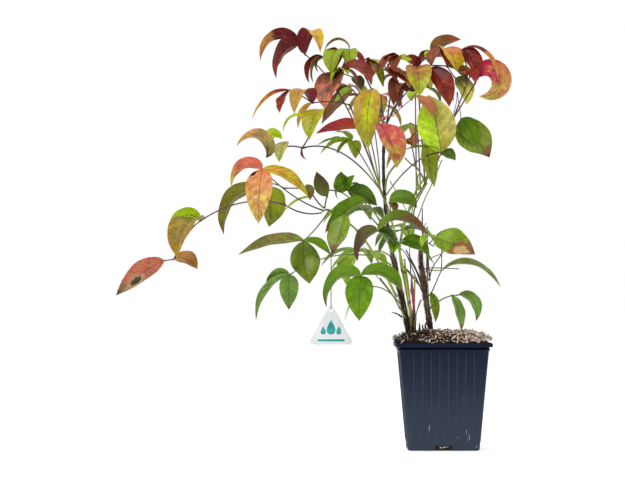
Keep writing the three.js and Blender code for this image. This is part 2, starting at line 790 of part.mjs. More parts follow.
/** Where a frond's stalk starts: beside its limb, on the side that it grows to, with the gap between. */
function springPoint({ limb, at, joints }) {
  const { centre, tangent, radius } = limbAt(LIMBS[limb], at);
  const [, x, y, z, bow] = joints[0];
  const leaving = vector(x, y, z).sub(centre).addScaledVector(UP, 4 * bow).normalize();
  const outward = leaving.clone().addScaledVector(tangent, -leaving.dot(tangent)).normalize();
  const beside = STALK.base * Math.sqrt(1 - leaving.dot(outward) ** 2);
  return centre.addScaledVector(outward, radius + CLEARANCE + beside);
}

/** A frond's solid, with its stalk's foot at the origin. */
function frondSolid({ joints, leaves }, start) {
  const places = joints.map(([, x, y, z]) => vector(x, y, z).sub(start));
  const radiusOf = (joint) => THREE.MathUtils.lerp(STALK.base, STALK.tip, (joint + 1) / joints.length);
  const stalks = joints.map(([from, , , , bow], i) => {
    const foot = from < 0 ? vector(0, 0, 0) : places[from];
    const radiusAt = (t) => THREE.MathUtils.lerp(radiusOf(from), radiusOf(i), t);
    return tube(stalkCurve(foot, places[i], bow), radiusAt, STALK.sides, STALK.steps);
  });
  const knob = () => new THREE.OctahedronGeometry(STALK.knob);
  const knobs = places.map(({ x, y, z }) => solidOf(knob().translate(x, y, z)));
  const blades = leaves.map(([joint, right, forward, up, arch, width, roll]) =>
    leafSolid(places[joint], vector(right, -forward, up), arch, width, roll),
  );
  return largestPiece(joined([...stalks, ...knobs, ...blades]));
}

/** A frond for the back of the crown, grown by rule: two joints, and a fan of leaflets at each. */
function grownFrond({ limb, at, heading, reach, rise, seed }) {
  const random = seeded(seed);
  const { centre } = limbAt(LIMBS[limb], at);
  const ahead = THREE.MathUtils.degToRad(heading);
  const joints = BACK_LEAF.joints.map((share, i) => [
    i - 1,
    centre.x + Math.cos(ahead) * reach * share,
    centre.y + Math.sin(ahead) * reach * share,
    centre.z + rise * share ** 0.7,
    BACK_LEAF.bow,
  ]);
  const leaves = BACK_LEAF.fans.flatMap((fan, joint) =>
    fan.map((turn) => {
      const length = BACK_LEAF.shortest + BACK_LEAF.spread * random();
      const way = THREE.MathUtils.degToRad(heading + turn + BACK_LEAF.stray * (random() - 0.5));
      const fall = THREE.MathUtils.lerp(...BACK_LEAF.fall, random());
      const level = length * Math.cos(fall);
      return [
        joint,
        level * Math.cos(way),
        -level * Math.sin(way),
        -length * Math.sin(fall),
        BACK_LEAF.arch * length,
        BACK_LEAF.width * length,
        BACK_LEAF.roll * (random() - 0.5),
      ];
    }),
  );
  return { limb, at, joints, leaves };
}

// ---- the whole plant ----

function meshOf(name, solid, colour, roughness) {
  const { vertProperties, triVerts } = solid.getMesh();
  const geometry = new THREE.BufferGeometry();
  geometry.setAttribute("position", new THREE.BufferAttribute(vertProperties, 3));
  geometry.setIndex(new THREE.BufferAttribute(triVerts, 1));
  geometry.computeVertexNormals();
  const material = new THREE.MeshStandardMaterial({ color: colour, roughness, metalness: 0 });
  const mesh = new THREE.Mesh(geometry, material);
  mesh.name = name;
  return mesh;
}

function foliageColour(height) {
  if (height > RED_ABOVE) return COLOURS.red;
  return height > GOLD_ABOVE ? COLOURS.gold : COLOURS.green;
}

function pottedSoil() {
  const group = new THREE.Group();
  const sockets = PLANTED.map((name) => limbSolid(LIMBS[name], CLEARANCE));
  group.add(meshOf("pot", potSolid(), COLOURS.pot, 0.45));
  group.add(meshOf("soil", largestPiece(soilSolid(sockets)), COLOURS.soil, 0.95));
  return group;
}

function canes() {
  const group = new THREE.Group();
  for (const [name, rows] of Object.entries(LIMBS)) {
    group.add(meshOf(name, limbSolid(rows), COLOURS[LIMB_FINISH[name]], 0.75));
  }
  return group;
}

function crown() {
  const group = new THREE.Group();
  const grown = Object.entries(BACK_FRONDS).map(([name, rule]) => [name, grownFrond(rule)]);
  for (const [name, frond] of [...Object.entries(FRONDS), ...grown]) {
    const start = springPoint(frond);
    const mesh = meshOf(name, frondSolid(frond, start), foliageColour(frond.joints[0][3]), 0.5);
    mesh.position.copy(start);
    group.add(mesh);
  }
  return group;
}

function label() {
  const group = new THREE.Group();
  group.position.set(...TAG.apex);
  group.add(meshOf("tag", tagSolid(), COLOURS.tag, 0.3));
  group.add(meshOf("tag_tie", tieSolid(), COLOURS.tie, 0.5));
  return group;
}

const plant = new THREE.Group();
plant.name = "heavenly_bamboo";
plant.add(pottedSoil(), canes(), crown(), label());

export default plant;
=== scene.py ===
"""A potted heavenly bamboo: leaflets, stalks, canes, mulch, pot and label, dressed around the CAD frame.

Lengths in the tables are millimetres, and the meshes are made in metres. +Z is up, the origin is at the
middle of the pot's underside, and the plant faces -Y.
"""
import math
import random
from types import SimpleNamespace

import bpy
from mathutils import Matrix, Vector, noise


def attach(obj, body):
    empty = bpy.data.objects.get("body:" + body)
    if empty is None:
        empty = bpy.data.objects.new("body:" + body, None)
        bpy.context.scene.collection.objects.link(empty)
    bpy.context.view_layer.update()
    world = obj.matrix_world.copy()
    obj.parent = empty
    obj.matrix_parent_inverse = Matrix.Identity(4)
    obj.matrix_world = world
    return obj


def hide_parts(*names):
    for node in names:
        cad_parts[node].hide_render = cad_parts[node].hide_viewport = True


MM = 0.001
UP = Vector((0, 0, 1))
QUARTERS = [Matrix.Rotation(side * math.pi / 2, 3, "Z") for side in range(4)]

CAMERA, AIM = (-120.2, -3000, 152.5), (-120.2, 0, 194.7)
LENS, SENSOR = 186.8, 36
SURROUND = (0.3, 1.0)  # its strength in front of the plant, and behind and above it
LAMPS = {"key": ((-0.7, -1.1, 1.5), 0.9, 16), "fill": ((1.1, -1.3, 0.7), 1.2, 3)}  # place, size, watts
LAMP_AIM = (-0.06, 0, 0.2)
FLOOR_HALF = 9000

POT = SimpleNamespace(
    height=98.5, foot=32.8, shoulder=41.2, band=41.5, lip=44.6, lip_depth=3.6, band_depth=1.9,
    shoulder_depth=1.2, corner=5, wall=1.3, notch_width=15.5, notch_height=4.5, notch_depth=4,
    corner_steps=6, side_steps=8,
)
BAND_TOP = POT.height - POT.lip_depth
BAND_FOOT = BAND_TOP - POT.band_depth
BODY_TOP = BAND_FOOT - POT.shoulder_depth
RIB = SimpleNamespace(count=8, pitch=7.85, width=0.9, proud=0.35, low=8, high=BODY_TOP - 2, end=0.8, sunk=0.1)
RIB_SECTION = ((-0.5, 0), (-0.38, 0.7), (0, 1), (0.38, 0.7), (0.5, 0))  # shares of its width and height
SCUFFS = [  # x, z, length, width, lean
    (-13.5, 21, 5.8, 0.5, 0.1), (-12, 23.5, 1.2, 0.6, 0.1), (11, 29.5, 1.2, 0.6, -1.2),
    (20.5, 17, 4.5, 0.4, -0.05), (23, 13, 4.5, 0.5, -0.25), (22, 10, 1.5, 0.6, 0.3),
    (12.5, 12, 1.8, 0.35, 0), (30, 4, 1.5, 0.8, 0.5),
]
SOIL = SimpleNamespace(
    edge=101.5, crown=6.5, floor=2.2, half=POT.band - POT.wall - 0.2, squareness=0.72, steepness=7,
    lump=2.2, lump_size=0.09, cells=56, corner_cut=3.2, sunk=0.6, rough=0.7, rough_size=0.7,
)
CHIP = SimpleNamespace(
    count=3400, spread=POT.lip - 1, lengths=(1.5, 2, 3, 4, 5), stretch=(0.8, 1.2), width=(0.15, 0.42),
    depth=(0.35, 1.0), bend=(-0.06, 0.12), sides=(5, 7), askew=(-0.25, 0.25), ragged=(0.75, 1.1),
    lift=(-0.4, 1.5), tilt=(0.7, 0.25, 0.25), droop=2.4,
)
CHIP_SHADE = SimpleNamespace(
    middle=0.2, rightward=0.015, left_dark=0.1, left=(-14, -32), high=0.35, uneven=0.36, pale=0.7,
    pale_every=9,
)
FIBRE = SimpleNamespace(
    count=640, length=(2, 7), radii=(0.16, 0.16, 0.14, 0.12, 0.1, 0.05), thick=(0.6, 1.2), bow=(-0.8, 1.2),
    outward=(0.75, 1), at_sides=0.7, overhang=3, tints=(0.05, 0.2, 0.4, 0.75),
)
CRUMBS = {  # in the notches: how many, half width, depth in the wall, heights, sizes, finish
    "bark_crumbs": (90, 7, 0.5, (0.6, 4.2), (0.5, 1), "chip"),
    "perlite": (26, 6.8, 0.3, (2.4, 4.2), (0.35, 0.85), "perlite"),
}
TAG = SimpleNamespace(
    apex=(-103, 6.5, 134.8), width=43.6, height=38.5, thickness=1, corner=7, hole=2, hole_drop=6,
    bevel=0.2, drops=((0, 14), (-7.2, 8), (7.2, 8)), drops_low=29, bar=(12.5, 35.4, 33.4), ink=0.06,
    ink_bevel=0.01, ink_proud=0.02,
)
TIE = SimpleNamespace(radius=0.4, loop=2.2, top=178.3, eye=1.3, sides=8)

CANE = SimpleNamespace(
    girth=0.93, swell=0.22, knot=1.6, first_knot=(0.3, 0.9), next_knot=(0.75, 1.25), grain=(0.9, 0.9, 0.16),
    lump=0.25, grained=0.6, lumped=0.5,
)
SHEATH = SimpleNamespace(
    rows=6, length=(5, 15), width=(0.5, 1.6), lift=(0.1, 1.5), twist=0.25,
    section=((-1, -0.1), (0, 0.12), (1, -0.1)),
)
STALK = SimpleNamespace(
    base=0.9, tip=0.65, clearance=0.3, shown=0.8, sides=8, steps=14, swell=0.55, knots=(1.2, 1.5), dark=0.8,
    least_knot=0.3, slender_steps=24, slender_knots=(0, 0.6),
)
FLUSH = SimpleNamespace(between=(245, 295), middle=-50, core=14, slope=0.9)
LEAF = SimpleNamespace(
    steps=24, fold=0.35, bend=1.35, swell=0.72, taper=1.05, thickness=0.3, crease=0.1, belly=0.07,
    wave=0.06, beat=(1.6, 2.6), thinnest=(0.3, 0.08), columns=(-1, -0.7, -0.4, -0.14, 0, 0.14, 0.4, 0.7, 1),
    apart=17.0,
)
SEEDS_APART, BACK_SEED = 20, 100  # between fronds, so that no two leaflets share one
LEAF_SKIN = {
    "Specular_IOR_Level": 0.22, "Subsurface_Weight": 0.25, "Subsurface_Scale": 0.001,
    "Subsurface_Radius": (0.9, 0.9, 0.4),
}
# The pale rib tint is partly the veins' own colour and partly a painted sheen along them.
VEIN_TINT, PALE_RIB_AND_SHEEN_TINT, FLECK_TINT = "#5a3a1c", "#e8e8b8", "#5a3a20"
BROWNED = ("#7e603c", "#4a362a")
BACK_LEAF = SimpleNamespace(
    joints=(0.68, 1), fans=((-65, 65), (-50, 5, 55)), bow=4, shortest=30, spread=12, stray=20,
    fall=(0.25, 0.75), arch=0.16, width=0.4, roll=25,
)
BACK_TINTS = {
    "red": ("rust", "maroon", "rose_brown", "orange_lime"),
    "turning": ("lime", "olive_rust", "gold", "olive_lime"),
    "green": ("green", "green_dark", "olive_green", "green_lime"),
}
RED_ABOVE, GOLD_ABOVE = 323, 253
# The fronds at the back: limb, how far up it, heading in degrees, reach, rise and seed.
BACK_FRONDS = {
    "back_crown_left": ("old_cane", 0.96, 112, 88, 42, 11),
    "back_crown_right": ("old_cane", 0.985, 66, 92, 46, 23),
    "back_crown_middle": ("old_cane", 0.92, 92, 76, 42, 37),
    "back_shoulder": ("right_stalk", 0.94, 92, 64, 62, 41),
    "back_waist": ("old_cane", 0.55, 112, 70, 16, 53),
    "back_waist_right": ("right_stalk", 0.62, 84, 58, 14, 61),
    "back_skirt": ("old_cane", 0.4, 118, 66, 6, 71),
}
# Each limb's surface: finish, slot, sides, spacing of its rings, roughness, spacing of its joints and seed.
CANE_LOOK = {
    "old_cane": ("bark", "bark", 20, 0.6, 0.22, 24, 1),
    "right_cane": ("pale_bark", "bark", 20, 0.6, 0.3, 14, 2),
    "green_stalk": ("green_cane", "green_stem", 14, 0.8, 0.1, 30, 3),
    "right_stalk": ("green_cane", "green_stem", 14, 0.8, 0.1, 34, 4),
    "reach_stalk": ("green_cane", "green_stem", 14, 0.8, 0.1, 40, 5),
    "young_shoot": ("shoot", "young_shoot", 16, 0.6, 0.16, 12, 6),
    "dead_stub": ("dead", "dead_stem", 12, 0.6, 0.3, 8, 7),
    "dead_twig_left": ("dead", "dead_stem", 10, 0.6, 0.3, 10, 8),
    "dead_twig_right": ("dead", "dead_stem", 10, 0.6, 0.3, 12, 9),
    "dead_twig_low": ("dead", "dead_stem", 10, 0.6, 0.3, 5, 10),
}
SHEATHED = {  # up to this share of the limb, strips, seed
    "right_cane": (0.9, 120, 12), "old_cane": (0.38, 150, 13), "green_stalk": (0.16, 24, 14),
    "right_stalk": (0.12, 24, 15), "young_shoot": (0.45, 30, 16),
}
# Finishes of two tones mixed by one noise, in the words of grained_finish.
GRAINED = {
    "dead": {
        "name": "dead_twig", "tones": ("#2c2420", "#6a5c50"), "scale": 1600, "detail": 4, "upright": 0.15,
        "rough": 0.75, "uneven": 0.3, "depth": 0.4,
    },
    "scuff": {
        "name": "pot_scuff", "tones": ("#5c636e", "#d5d8dc"), "scale": 1800, "detail": 3,
        "between": (0.35, 0.65), "rough": 0.8,
    },
    "earth": {
        "name": "bark_fines", "tones": ("#1a110c", "#5a3d2b"), "scale": 700, "detail": 6, "clumped": 0.75,
        "between": (0.35, 0.7), "rough": 0.9, "uneven": 0.1, "depth": 1.2,
    },
    "perlite": {
        "name": "perlite", "tones": ("#b9b6ae", "#f4f3ee"), "scale": 2200, "detail": 3,
        "between": (0.3, 0.6), "rough": 0.8, "depth": 0.3,
    },
    "card": {
        "name": "label_card", "tones": ("#e4e9ec", "#f3f5f6"), "scale": 45, "rough": 0.28, "uneven": 0.15,
    },
    "print": {
        "name": "label_print", "tones": ("#1f8f93", "#2db3b4"), "scale": 160, "rough": 0.4, "uneven": 0.1,
    },
    "tie": {
        "name": "tie_plastic", "tones": ("#26232c", "#4a4652"), "scale": 1500, "between": None,
        "rough": 0.4, "uneven": 0.2,
    },
}
FLOOR = {
    "name": "studio_floor", "tones": ("#f4f4f4", "#f7f7f7"), "scale": 2, "detail": 1, "between": None,
    "rough": 0.6, "Emission_Color": (1, 1, 1, 1), "Emission_Strength": 0.45,
}
# Each cane or stalk: its points from the ground up, as (x, y, z, radius).
LIMBS = {
    "old_cane": [
        (-28, 0, 92, 4), (-30, -0.5, 105.5, 3.2), (-39.5, -2, 147.5, 2.4), (-51.5, 0, 211.5, 1.8),
        (-54.5, 2, 272.5, 1.5), (-50.5, 2, 306.5, 1.1),
    ],
    "right_cane": [
        (-8.5, 2, 92, 3.6), (-10, 2, 106.5, 2.6), (-15, 2, 137.5, 2.5), (-16, 2, 150.5, 2.6),
        (-20, 3, 174.5, 2.1), (-18, 3, 196.5, 1.6),
    ],
    "green_stalk": [
        (-27, -9, 92, 1.4), (-32.5, -12, 147, 1.2), (-47, -13, 209.5, 1), (-58.5, -14, 242.5, 0.9),
    ],
    "right_stalk": [
        (-23.5, 8, 92, 1.3), (-33.5, 11, 148, 1.1), (-39, 11, 180.5, 1), (-34, 9, 212.5, 0.9),
        (-14.5, 4, 248.5, 0.9),
    ],
    "reach_stalk": [
        (-42.5, -3.5, 140.5, 1.3), (-58, -10, 170.5, 1.2), (-78, -15, 200.5, 1.1), (-103, -19, 219.5, 1),
        (-111.5, -20, 219.5, 0.9),
    ],
    "young_shoot": [
        (-26, -14, 92, 1.6), (-27, -14, 133, 1.3), (-28.5, -14, 147, 1.6), (-29, -14, 162, 0.4),
    ],
    "dead_stub": [(-20.5, -3, 92, 1.7), (-21, -3, 106.5, 1.4), (-21.5, -3, 116.5, 0.5)],
    "dead_twig_left": [(-18, 3, 197, 0.8), (-18.5, 3, 210.5, 0.7), (-18.5, 3, 222.5, 0.4)],
    "dead_twig_right": [(-11.5, 2, 155.5, 0.8), (-13.5, 1, 178.5, 0.7), (-14, 1, 205.5, 0.4)],
    "dead_twig_low": [(-37.5, -3, 122, 0.9), (-42, -5, 125, 0.7), (-47, -7, 126.5, 0.4)],
}
# Each frond: the limb that it springs from, how far up that limb, its joints and its leaflets. A joint is
# (the joint before it or -1, x, y, z, how far its stalk bows up). A leaflet is (its joint, the tip's place
# from there to the right, forward and up, the height of its arch, its width, its roll in degrees, its tint).
FRONDS = {
    "crest_left": ("green_stalk", 0.985, [
        (-1, -96.5, -2, 330, 6), (0, -127.5, 45, 368.5, 3), (1, -133.5, 45, 377, 0),
    ], [
        (2, -35.5, 8, -15, 15.5, 13, 50, "maroon_tan"), (2, -20.5, 14, -32, 8, 27, 50, "maroon"),
        (1, 14.5, 30, 0, 19.5, 18, 0, "maroon_gold"),
    ]),
    "left_second": ("green_stalk", 0.95, [
        (-1, -86, -41, 316, 0), (0, -120.5, -47, 317.5, 2), (1, -141, -50, 329, 1),
    ], [
        (1, -16, 26, -11, 14.5, 18.5, 0, "tan_maroon"), (2, -34, 4, -26, 6.5, 8, 25, "rust_gold"),
        (2, -9, 10, -21, 1.5, 19, 20, "maroon"), (1, -13, -6, -22.5, 4, 6.5, 30, "gold"),
    ]),
    "left_arch": ("green_stalk", 0.999, [
        (-1, -129.5, -57.5, 276, 14), (0, -161.5, -75, 267, 5), (0, -112, -62, 310.5, -2),
        (1, -143, -74, 281, 0), (2, -129, -62, 305.5, 0), (1, -160.5, -72, 282, 0),
    ], [
        (0, 4, 4, -10.5, -3.5, 3, 0, "maroon"), (1, -27, 8, 9.5, 15, 15, 35, "olive_tan"),
        (5, 12.5, -2, 1.5, 5, 12, 50, "lime"), (3, -7, 9, -18.5, 3, 14, 0, "tan_green"),
        (2, -11, 18, -27.5, 6, 21, 0, "lime_gold"), (4, -18, 2, -15.5, 5, 7, 20, "lime"),
    ]),
    "orange_trio": ("reach_stalk", 0.995, [(-1, -165.5, -78, 256, -5)], [
        (0, -27.5, 8, -16, 10.5, 16, 42, "coral_lime"), (0, -3, 18, -49.5, 6, 24.5, 0, "orange"),
        (0, 41, 8, -24.5, 5.5, 16, 35, "gold_orange"),
    ]),
    "far_reach": ("reach_stalk", 1, [
        (-1, -146.5, -14, 226, -4), (0, -223.5, 4, 211.5, 9), (1, -249.5, 22, 175.5, 5),
        (2, -258, 22, 174.5, 0),
    ], [
        (1, -29.5, -4, -3, 6, 15, 50, "lime"), (1, -21, 27, -34.5, 12, 31, 0, "olive_rust"),
        (3, -44.5, 10, -32.5, 2.5, 22.5, 60, "coral_brown"), (2, 22.5, 14, -9, 4.5, 18, 35, "tan"),
    ]),
    "olive_upright": ("reach_stalk", 0.97, [
        (-1, -106.5, -15.5, 233.5, 2), (-1, -125, -20, 244, -3), (1, -121.5, -20, 232.5, 0),
    ], [
        (0, -10, 5, 22.5, -1.5, 13.5, 60, "olive_dark"), (1, 2.5, 6, -14.5, 2, 9, 0, "olive_brown"),
        (2, -26, 4, -14.5, 3, 6.5, 20, "green_pale"),
    ]),
    "lower_left": ("reach_stalk", 0.94, [(-1, -128, -66, 192, -2)], [
        (0, -59, 8, -13, 5, 16, 40, "olive_brown"), (0, 24, 5, -13, 3, 14, 28, "green"),
        (0, 5, 18, -39, -8, 28, 0, "olive_shade"),
    ]),
    "back_left": ("old_cane", 0.5, [
        (-1, -95, 2, 238.5, 4), (0, -147, 28, 242, 1), (1, -166.5, 34, 244.5, 3), (2, -167.5, 34, 240.5, 0),
    ], [
        (3, -35.5, 4, -41.5, 14.5, 23, 38, "olive"), (2, 5.5, 6, -38.5, 6, 32, 0, "lime_dull"),
    ]),
    "tag_stalk": ("old_cane", 0.37, [(-1, -79.5, 5.5, 179.5, 3), (0, -141.5, 8, 161, 6)], [
        (0, -8, -8, -29.5, 4.5, 17, 0, "green_pale"), (1, -0.5, 12, -32, 3, 18, 0, "green_soft"),
        (1, -31, 2, -41.5, 8, 15, 30, "green_soft"), (1, -20, 0, -14.5, 6, 14, 40, "green_soft"),
    ]),
    "low_trio": ("old_cane", 0.34, [(-1, -76.5, -62, 159.5, 10)], [
        (0, -31, 8, -27.5, 13, 21.5, 38, "green"), (0, -1.5, 14, -40, 5, 25.5, 0, "green_vivid"),
        (0, 37.5, 10, -14.5, 9.5, 22, 30, "green"),
    ]),
    "low_shoot": ("old_cane", 0.2, [(-1, -69, -28, 149.5, 6)], [
        (0, -21.5, 2, -30, 4, 7, 0, "green_pale"),
    ]),
    "mid_left": ("old_cane", 0.53, [(-1, -87.5, 40, 240.5, 4)], [
        (0, -6, 6, 17.5, -2, 19, 80, "green_vivid"), (0, -9, 4, -8.5, 6.5, 9, 10, "green"),
        (0, 14, -5, 1, 5, 11, 0, "green"), (0, 28, -8, -14.5, 3, 17, -60, "green_dark"),
        (0, 6.5, 6, 14, 1, 11, 75, "green_vivid"),
    ]),
    "big_left": ("old_cane", 0.48, [(-1, -71, -26, 229, 3), (0, -91, -34, 216.5, 2)], [
        (0, -37.5, 8, -29.5, 3, 26, 40, "green"), (1, -11.5, 18, -36.5, -2, 23, 0, "green_brown"),
        (1, -6.5, -2, -34.5, 3, 6, 0, "green_pale"),
    ]),
    "mid_arch": ("old_cane", 0.44, [(-1, -60.5, -45, 201, 2)], [
        (0, -18.5, 6, -27.5, 6, 26, 38, "rust_green"), (0, 16.5, -4, -13.5, 2.5, 18, 35, "green_dark"),
        (0, 44, 6, -4, 12.5, 20, 30, "green_purple"),
    ]),
    "mid_right": ("green_stalk", 0.82, [(-1, -49.5, -28, 227, 2)], [
        (0, 24.5, 8, -5, 6, 18, 45, "green"), (0, 4.5, 8, -10.5, 3, 9, 0, "brown"),
    ]),
    "stalk_leaves": ("right_stalk", 0.56, [(-1, -39, -30, 190, 2)], [
        (0, -8, 14, -10.5, 4.5, 14, 0, "green_vivid"), (0, 25.5, 6, -11, 5, 15, 55, "green_vivid"),
        (0, 30, -5, -19, 4.5, 10, 30, "olive_green"),
    ]),
    "right_blotch": ("right_cane", 0.97, [(-1, -10, -53, 194.5, -4)], [
        (0, 37, 10, -15, 1, 29, 50, "green_blotch"), (0, -10.5, -10, -8, 4.5, 12, 0, "green_pale"),
    ]),
    "right_arch": ("right_cane", 0.72, [(-1, 2, 45, 165.5, -1)], [
        (0, 54, 4, -16, 12.5, 16, 20, "grey_olive"),
    ]),
    "right_low": ("right_cane", 0.36, [(-1, 8, -23, 142, 2), (0, 13.5, -25, 142.5, 0)], [
        (0, 8, 8, -32.5, 2.5, 13.5, 0, "green_soft"), (1, 16, 6, -23.5, 8, 14, 30, "green_soft"),
    ]),
    "right_low_leaf": ("right_cane", 0.45, [(-1, -10, 16, 144.5, 0)], [
        (0, 4, 4, -27.5, 2.5, 8.5, 40, "green_pale"),
    ]),
    "right_pair": ("right_stalk", 0.96, [(-1, 11, 18, 294.5, 0), (0, 18.5, 18, 307, 0)], [
        (1, 12.5, 8, -26.5, 2, 18, 55, "green_vivid"), (0, 33.5, 0, -24, 5, 34, 65, "green_brown"),
    ]),
    "right_curl": ("right_stalk", 0.985, [
        (-1, 9, -24.5, 304.5, 2), (0, 28.5, -34, 336, 0), (0, 24, -36, 343, 0), (2, 17, -30, 368, -2),
        (1, 31.5, -34, 341.5, 0),
    ], [
        (4, 1, 0, -17, 19, 21, 70, "pink_lime"), (3, 32, 16, -28.5, 11, 7, 20, "maroon_tan"),
        (3, 13, 6, -28, 4.5, 17, 45, "maroon"), (2, -10.5, 2, 6, 2, 9, 0, "crimson"),
        (2, -10, 0, 9, 2, 7, 30, "green"), (1, -13.5, 0, 10.5, 3, 9, 20, "coral"),
        (2, 2.5, 4, -4, 6, 12, 10, "crimson"),
    ]),
    "lime_pair": ("green_stalk", 0.93, [(-1, -4.5, -74, 271.5, 9), (0, -16, -56, 285, 0)], [
        (0, -11, -18, 53, 3, 35, -37, "lime_half"), (1, 6, 14, -44.5, -4, 16.5, 0, "lime_dull"),
        (0, 13, 6, -7.5, 1, 15, 30, "green_dark"), (0, -34.5, -4, 1.5, 4, 7, 10, "green_dark"),
    ]),
    "coral_fall": ("old_cane", 0.97, [(-1, -61, -87, 297, 3)], [
        (0, 16, 20, -41, 5, 31, 0, "coral_red"), (0, 15, 6, 6, 2, 6, 0, "tan"),
    ]),
    "yellow_fall": ("old_cane", 0.93, [(-1, -65.5, -69.5, 329, 5), (0, -73, -66, 295, 0)], [
        (0, -4.5, 12, -55, 8.5, 25.5, 0, "yellow"), (1, -44, 6, -6.5, 3.5, 14, 45, "crimson"),
    ]),
    "brown_left": ("old_cane", 0.9, [(-1, -82.5, 30, 334, 4)], [
        (0, -29, 4, -32, 3, 15, 55, "brown_rust"), (0, -18, 12, -14, 2, 12, 45, "green_pale"),
        (0, -15, -6, -6, 4, 9, 20, "olive_dark"),
    ]),
    "green_back_left": ("green_stalk", 0.9, [(-1, -84, 46, 287, 4)], [
        (0, -28.5, 5, -12, 4.5, 9, 30, "lime_olive"), (0, -13, 8, -12.5, 2, 10, 0, "olive_green"),
        (0, 4, 12, -17, 3.5, 13.5, 0, "lime_olive"), (0, -31.5, -8, -3.5, 3.5, 11, 0, "green"),
        (0, -15, -14, 8.5, 3.5, 11, 0, "lime_olive"),
    ]),
    "top_left_centre": ("old_cane", 0.99, [
        (-1, -86, 8, 370, 4), (0, -110, 8, 362.5, 3), (0, -94.5, -6, 348, 0), (0, -97, 6, 370, 0),
        (2, -82.5, 2, 344, 0),
    ], [
        (3, -5.5, 14, -23.5, 6, 18, 0, "lime_olive"), (0, 0, 10, -16.5, 5, 15, 0, "lime_olive"),
        (0, -23, -4, 0, 9, 6, 20, "brown"), (1, -13, 2, -23.5, 7.5, 11, 40, "maroon"),
        (1, -9.5, 6, -23.5, 6, 12, 40, "brown"), (2, -14.5, 18, -34.5, 5, 31, 0, "salmon"),
        (2, 13.5, 4, -11.5, 6, 14, 0, "red_brown"), (2, 28.5, 10, -12.5, 10.5, 16, 35, "red_brown"),
        (1, -5, 2, -13.5, 4, 7, 0, "olive_lime"), (2, 7, 12, -3, 4, 10, 0, "lime"),
        (0, -15, 12, -32.5, 5, 8, 0, "rust"), (4, 7.5, 9, -12, 2, 12, 20, "olive_dark"),
        (0, 11.5, 4, -23, 5, 9, 20, "maroon"), (2, -8, 12, -11.5, 5, 9, 30, "lime_olive"),
        (3, -8.5, 2, -16.5, 5, 12, 20, "red_brown"),
    ]),
    "top_centre": ("old_cane", 1, [
        (-1, -44, 49, 347.5, 3), (0, -66.5, 49, 363.5, 4), (0, -40.5, 38, 364, 0), (0, -36, 47, 338, 0),
        (0, -52, 46, 354, 0),
    ], [
        (1, 12.5, 6, -26, 2.5, 10, 30, "olive_lime"), (1, 11.5, 6, -6.5, 1, 12, 0, "lime"),
        (0, 0, 6, -27.5, 3, 11, 0, "rust"), (0, -12.5, 4, 2.5, 5, 12, 0, "rust"),
        (3, 13, 4, -6.5, 2, 12, 60, "dark_brown"), (2, 13, 2, -6.5, 2.5, 11, 30, "lime"),
        (2, -15, 12, -12.5, 5, 16, 0, "rust"), (2, -3.5, 14, -13.5, 6, 13, 0, "rust"),
        (0, 13.5, 8, -5.5, 5, 13, 0, "rose_brown"), (0, -9, 2, -9, 4, 11, 10, "rust"),
        (2, -9, 6, -13, 3, 10, 20, "rose_brown"), (0, 10.5, 6, -1.5, 4, 11, 20, "rust"),
        (0, 15, 8, -11, 5, 13, 30, "rose_brown"), (2, -15, 4, -8, 4, 13, 20, "red_brown"),
        (4, 18.5, 8, -7, 3, 9, 20, "rose_brown"), (4, 10.5, 10, -11, 3, 10, 20, "rust"),
        (3, -3, 6, -20.5, 1.5, 7, 0, "rust"), (1, -7, 6, -9.5, 3, 9, 20, "red_brown"),
        (1, 2, 7, -17.5, 2, 12, 10, "maroon"),
    ]),
    "top_right": ("right_stalk", 1, [
        (-1, -24.5, -18, 352.5, 2), (0, -11, -10.5, 367.5, 2), (0, -1.5, -16, 368.5, 2),
        (0, -12.5, -20, 351, 1), (0, 3.5, -18, 353, 1), (0, -13, -8, 333.5, 0), (4, 11, -18, 342, 0),
    ], [
        (0, 2, 26, -28.5, 7, 24, 0, "orange_lime"), (3, 17.5, 10, -36, 5, 20, 45, "maroon"),
        (0, -10.5, 4, 9, 4, 9, 20, "maroon"), (1, 28, -6, 11, 4, 12.5, 60, "rust_olive"),
        (1, -0.5, 3, -12, 3, 11, 0, "lime"), (2, 13, 15, -21, 6, 29, 0, "orange_gold"),
        (6, 10.5, 4, -24.5, 4, 18, 40, "olive_pale"), (2, -9.5, 9, -16, 4, 15, 0, "rust"),
        (5, 10.5, -2, -16.5, 3, 11, 0, "green_dark"), (4, -14, 0, 5, 7, 13, 20, "rose_brown"),
        (1, -12.5, -2, -11, 0.5, 11, 30, "maroon"), (4, 17.5, 2, -15.5, 5, 13, 40, "olive_dark"),
        (0, -7, 8, 3, 4, 12, 20, "maroon"), (2, 5, 8, -16.5, 3, 12, 0, "maroon"),
    ]),
    "rose_fold": ("right_stalk", 0.9, [(-1, -27, -64, 323.5, 2)], [
        (0, 15.5, 14, -19.5, 1.5, 22, 0, "rose_brown"), (0, -5, 6, -4.5, 4, 9, 0, "lime"),
    ]),
    "fork_leaves": ("right_stalk", 0.93, [(-1, -28.5, 6, 282, 4)], [
        (0, -0.5, 4, 2, 6.5, 14, 30, "rose_brown"), (0, 7.5, 2, 13, 2, 7, 0, "green_dark"),
    ]),
}
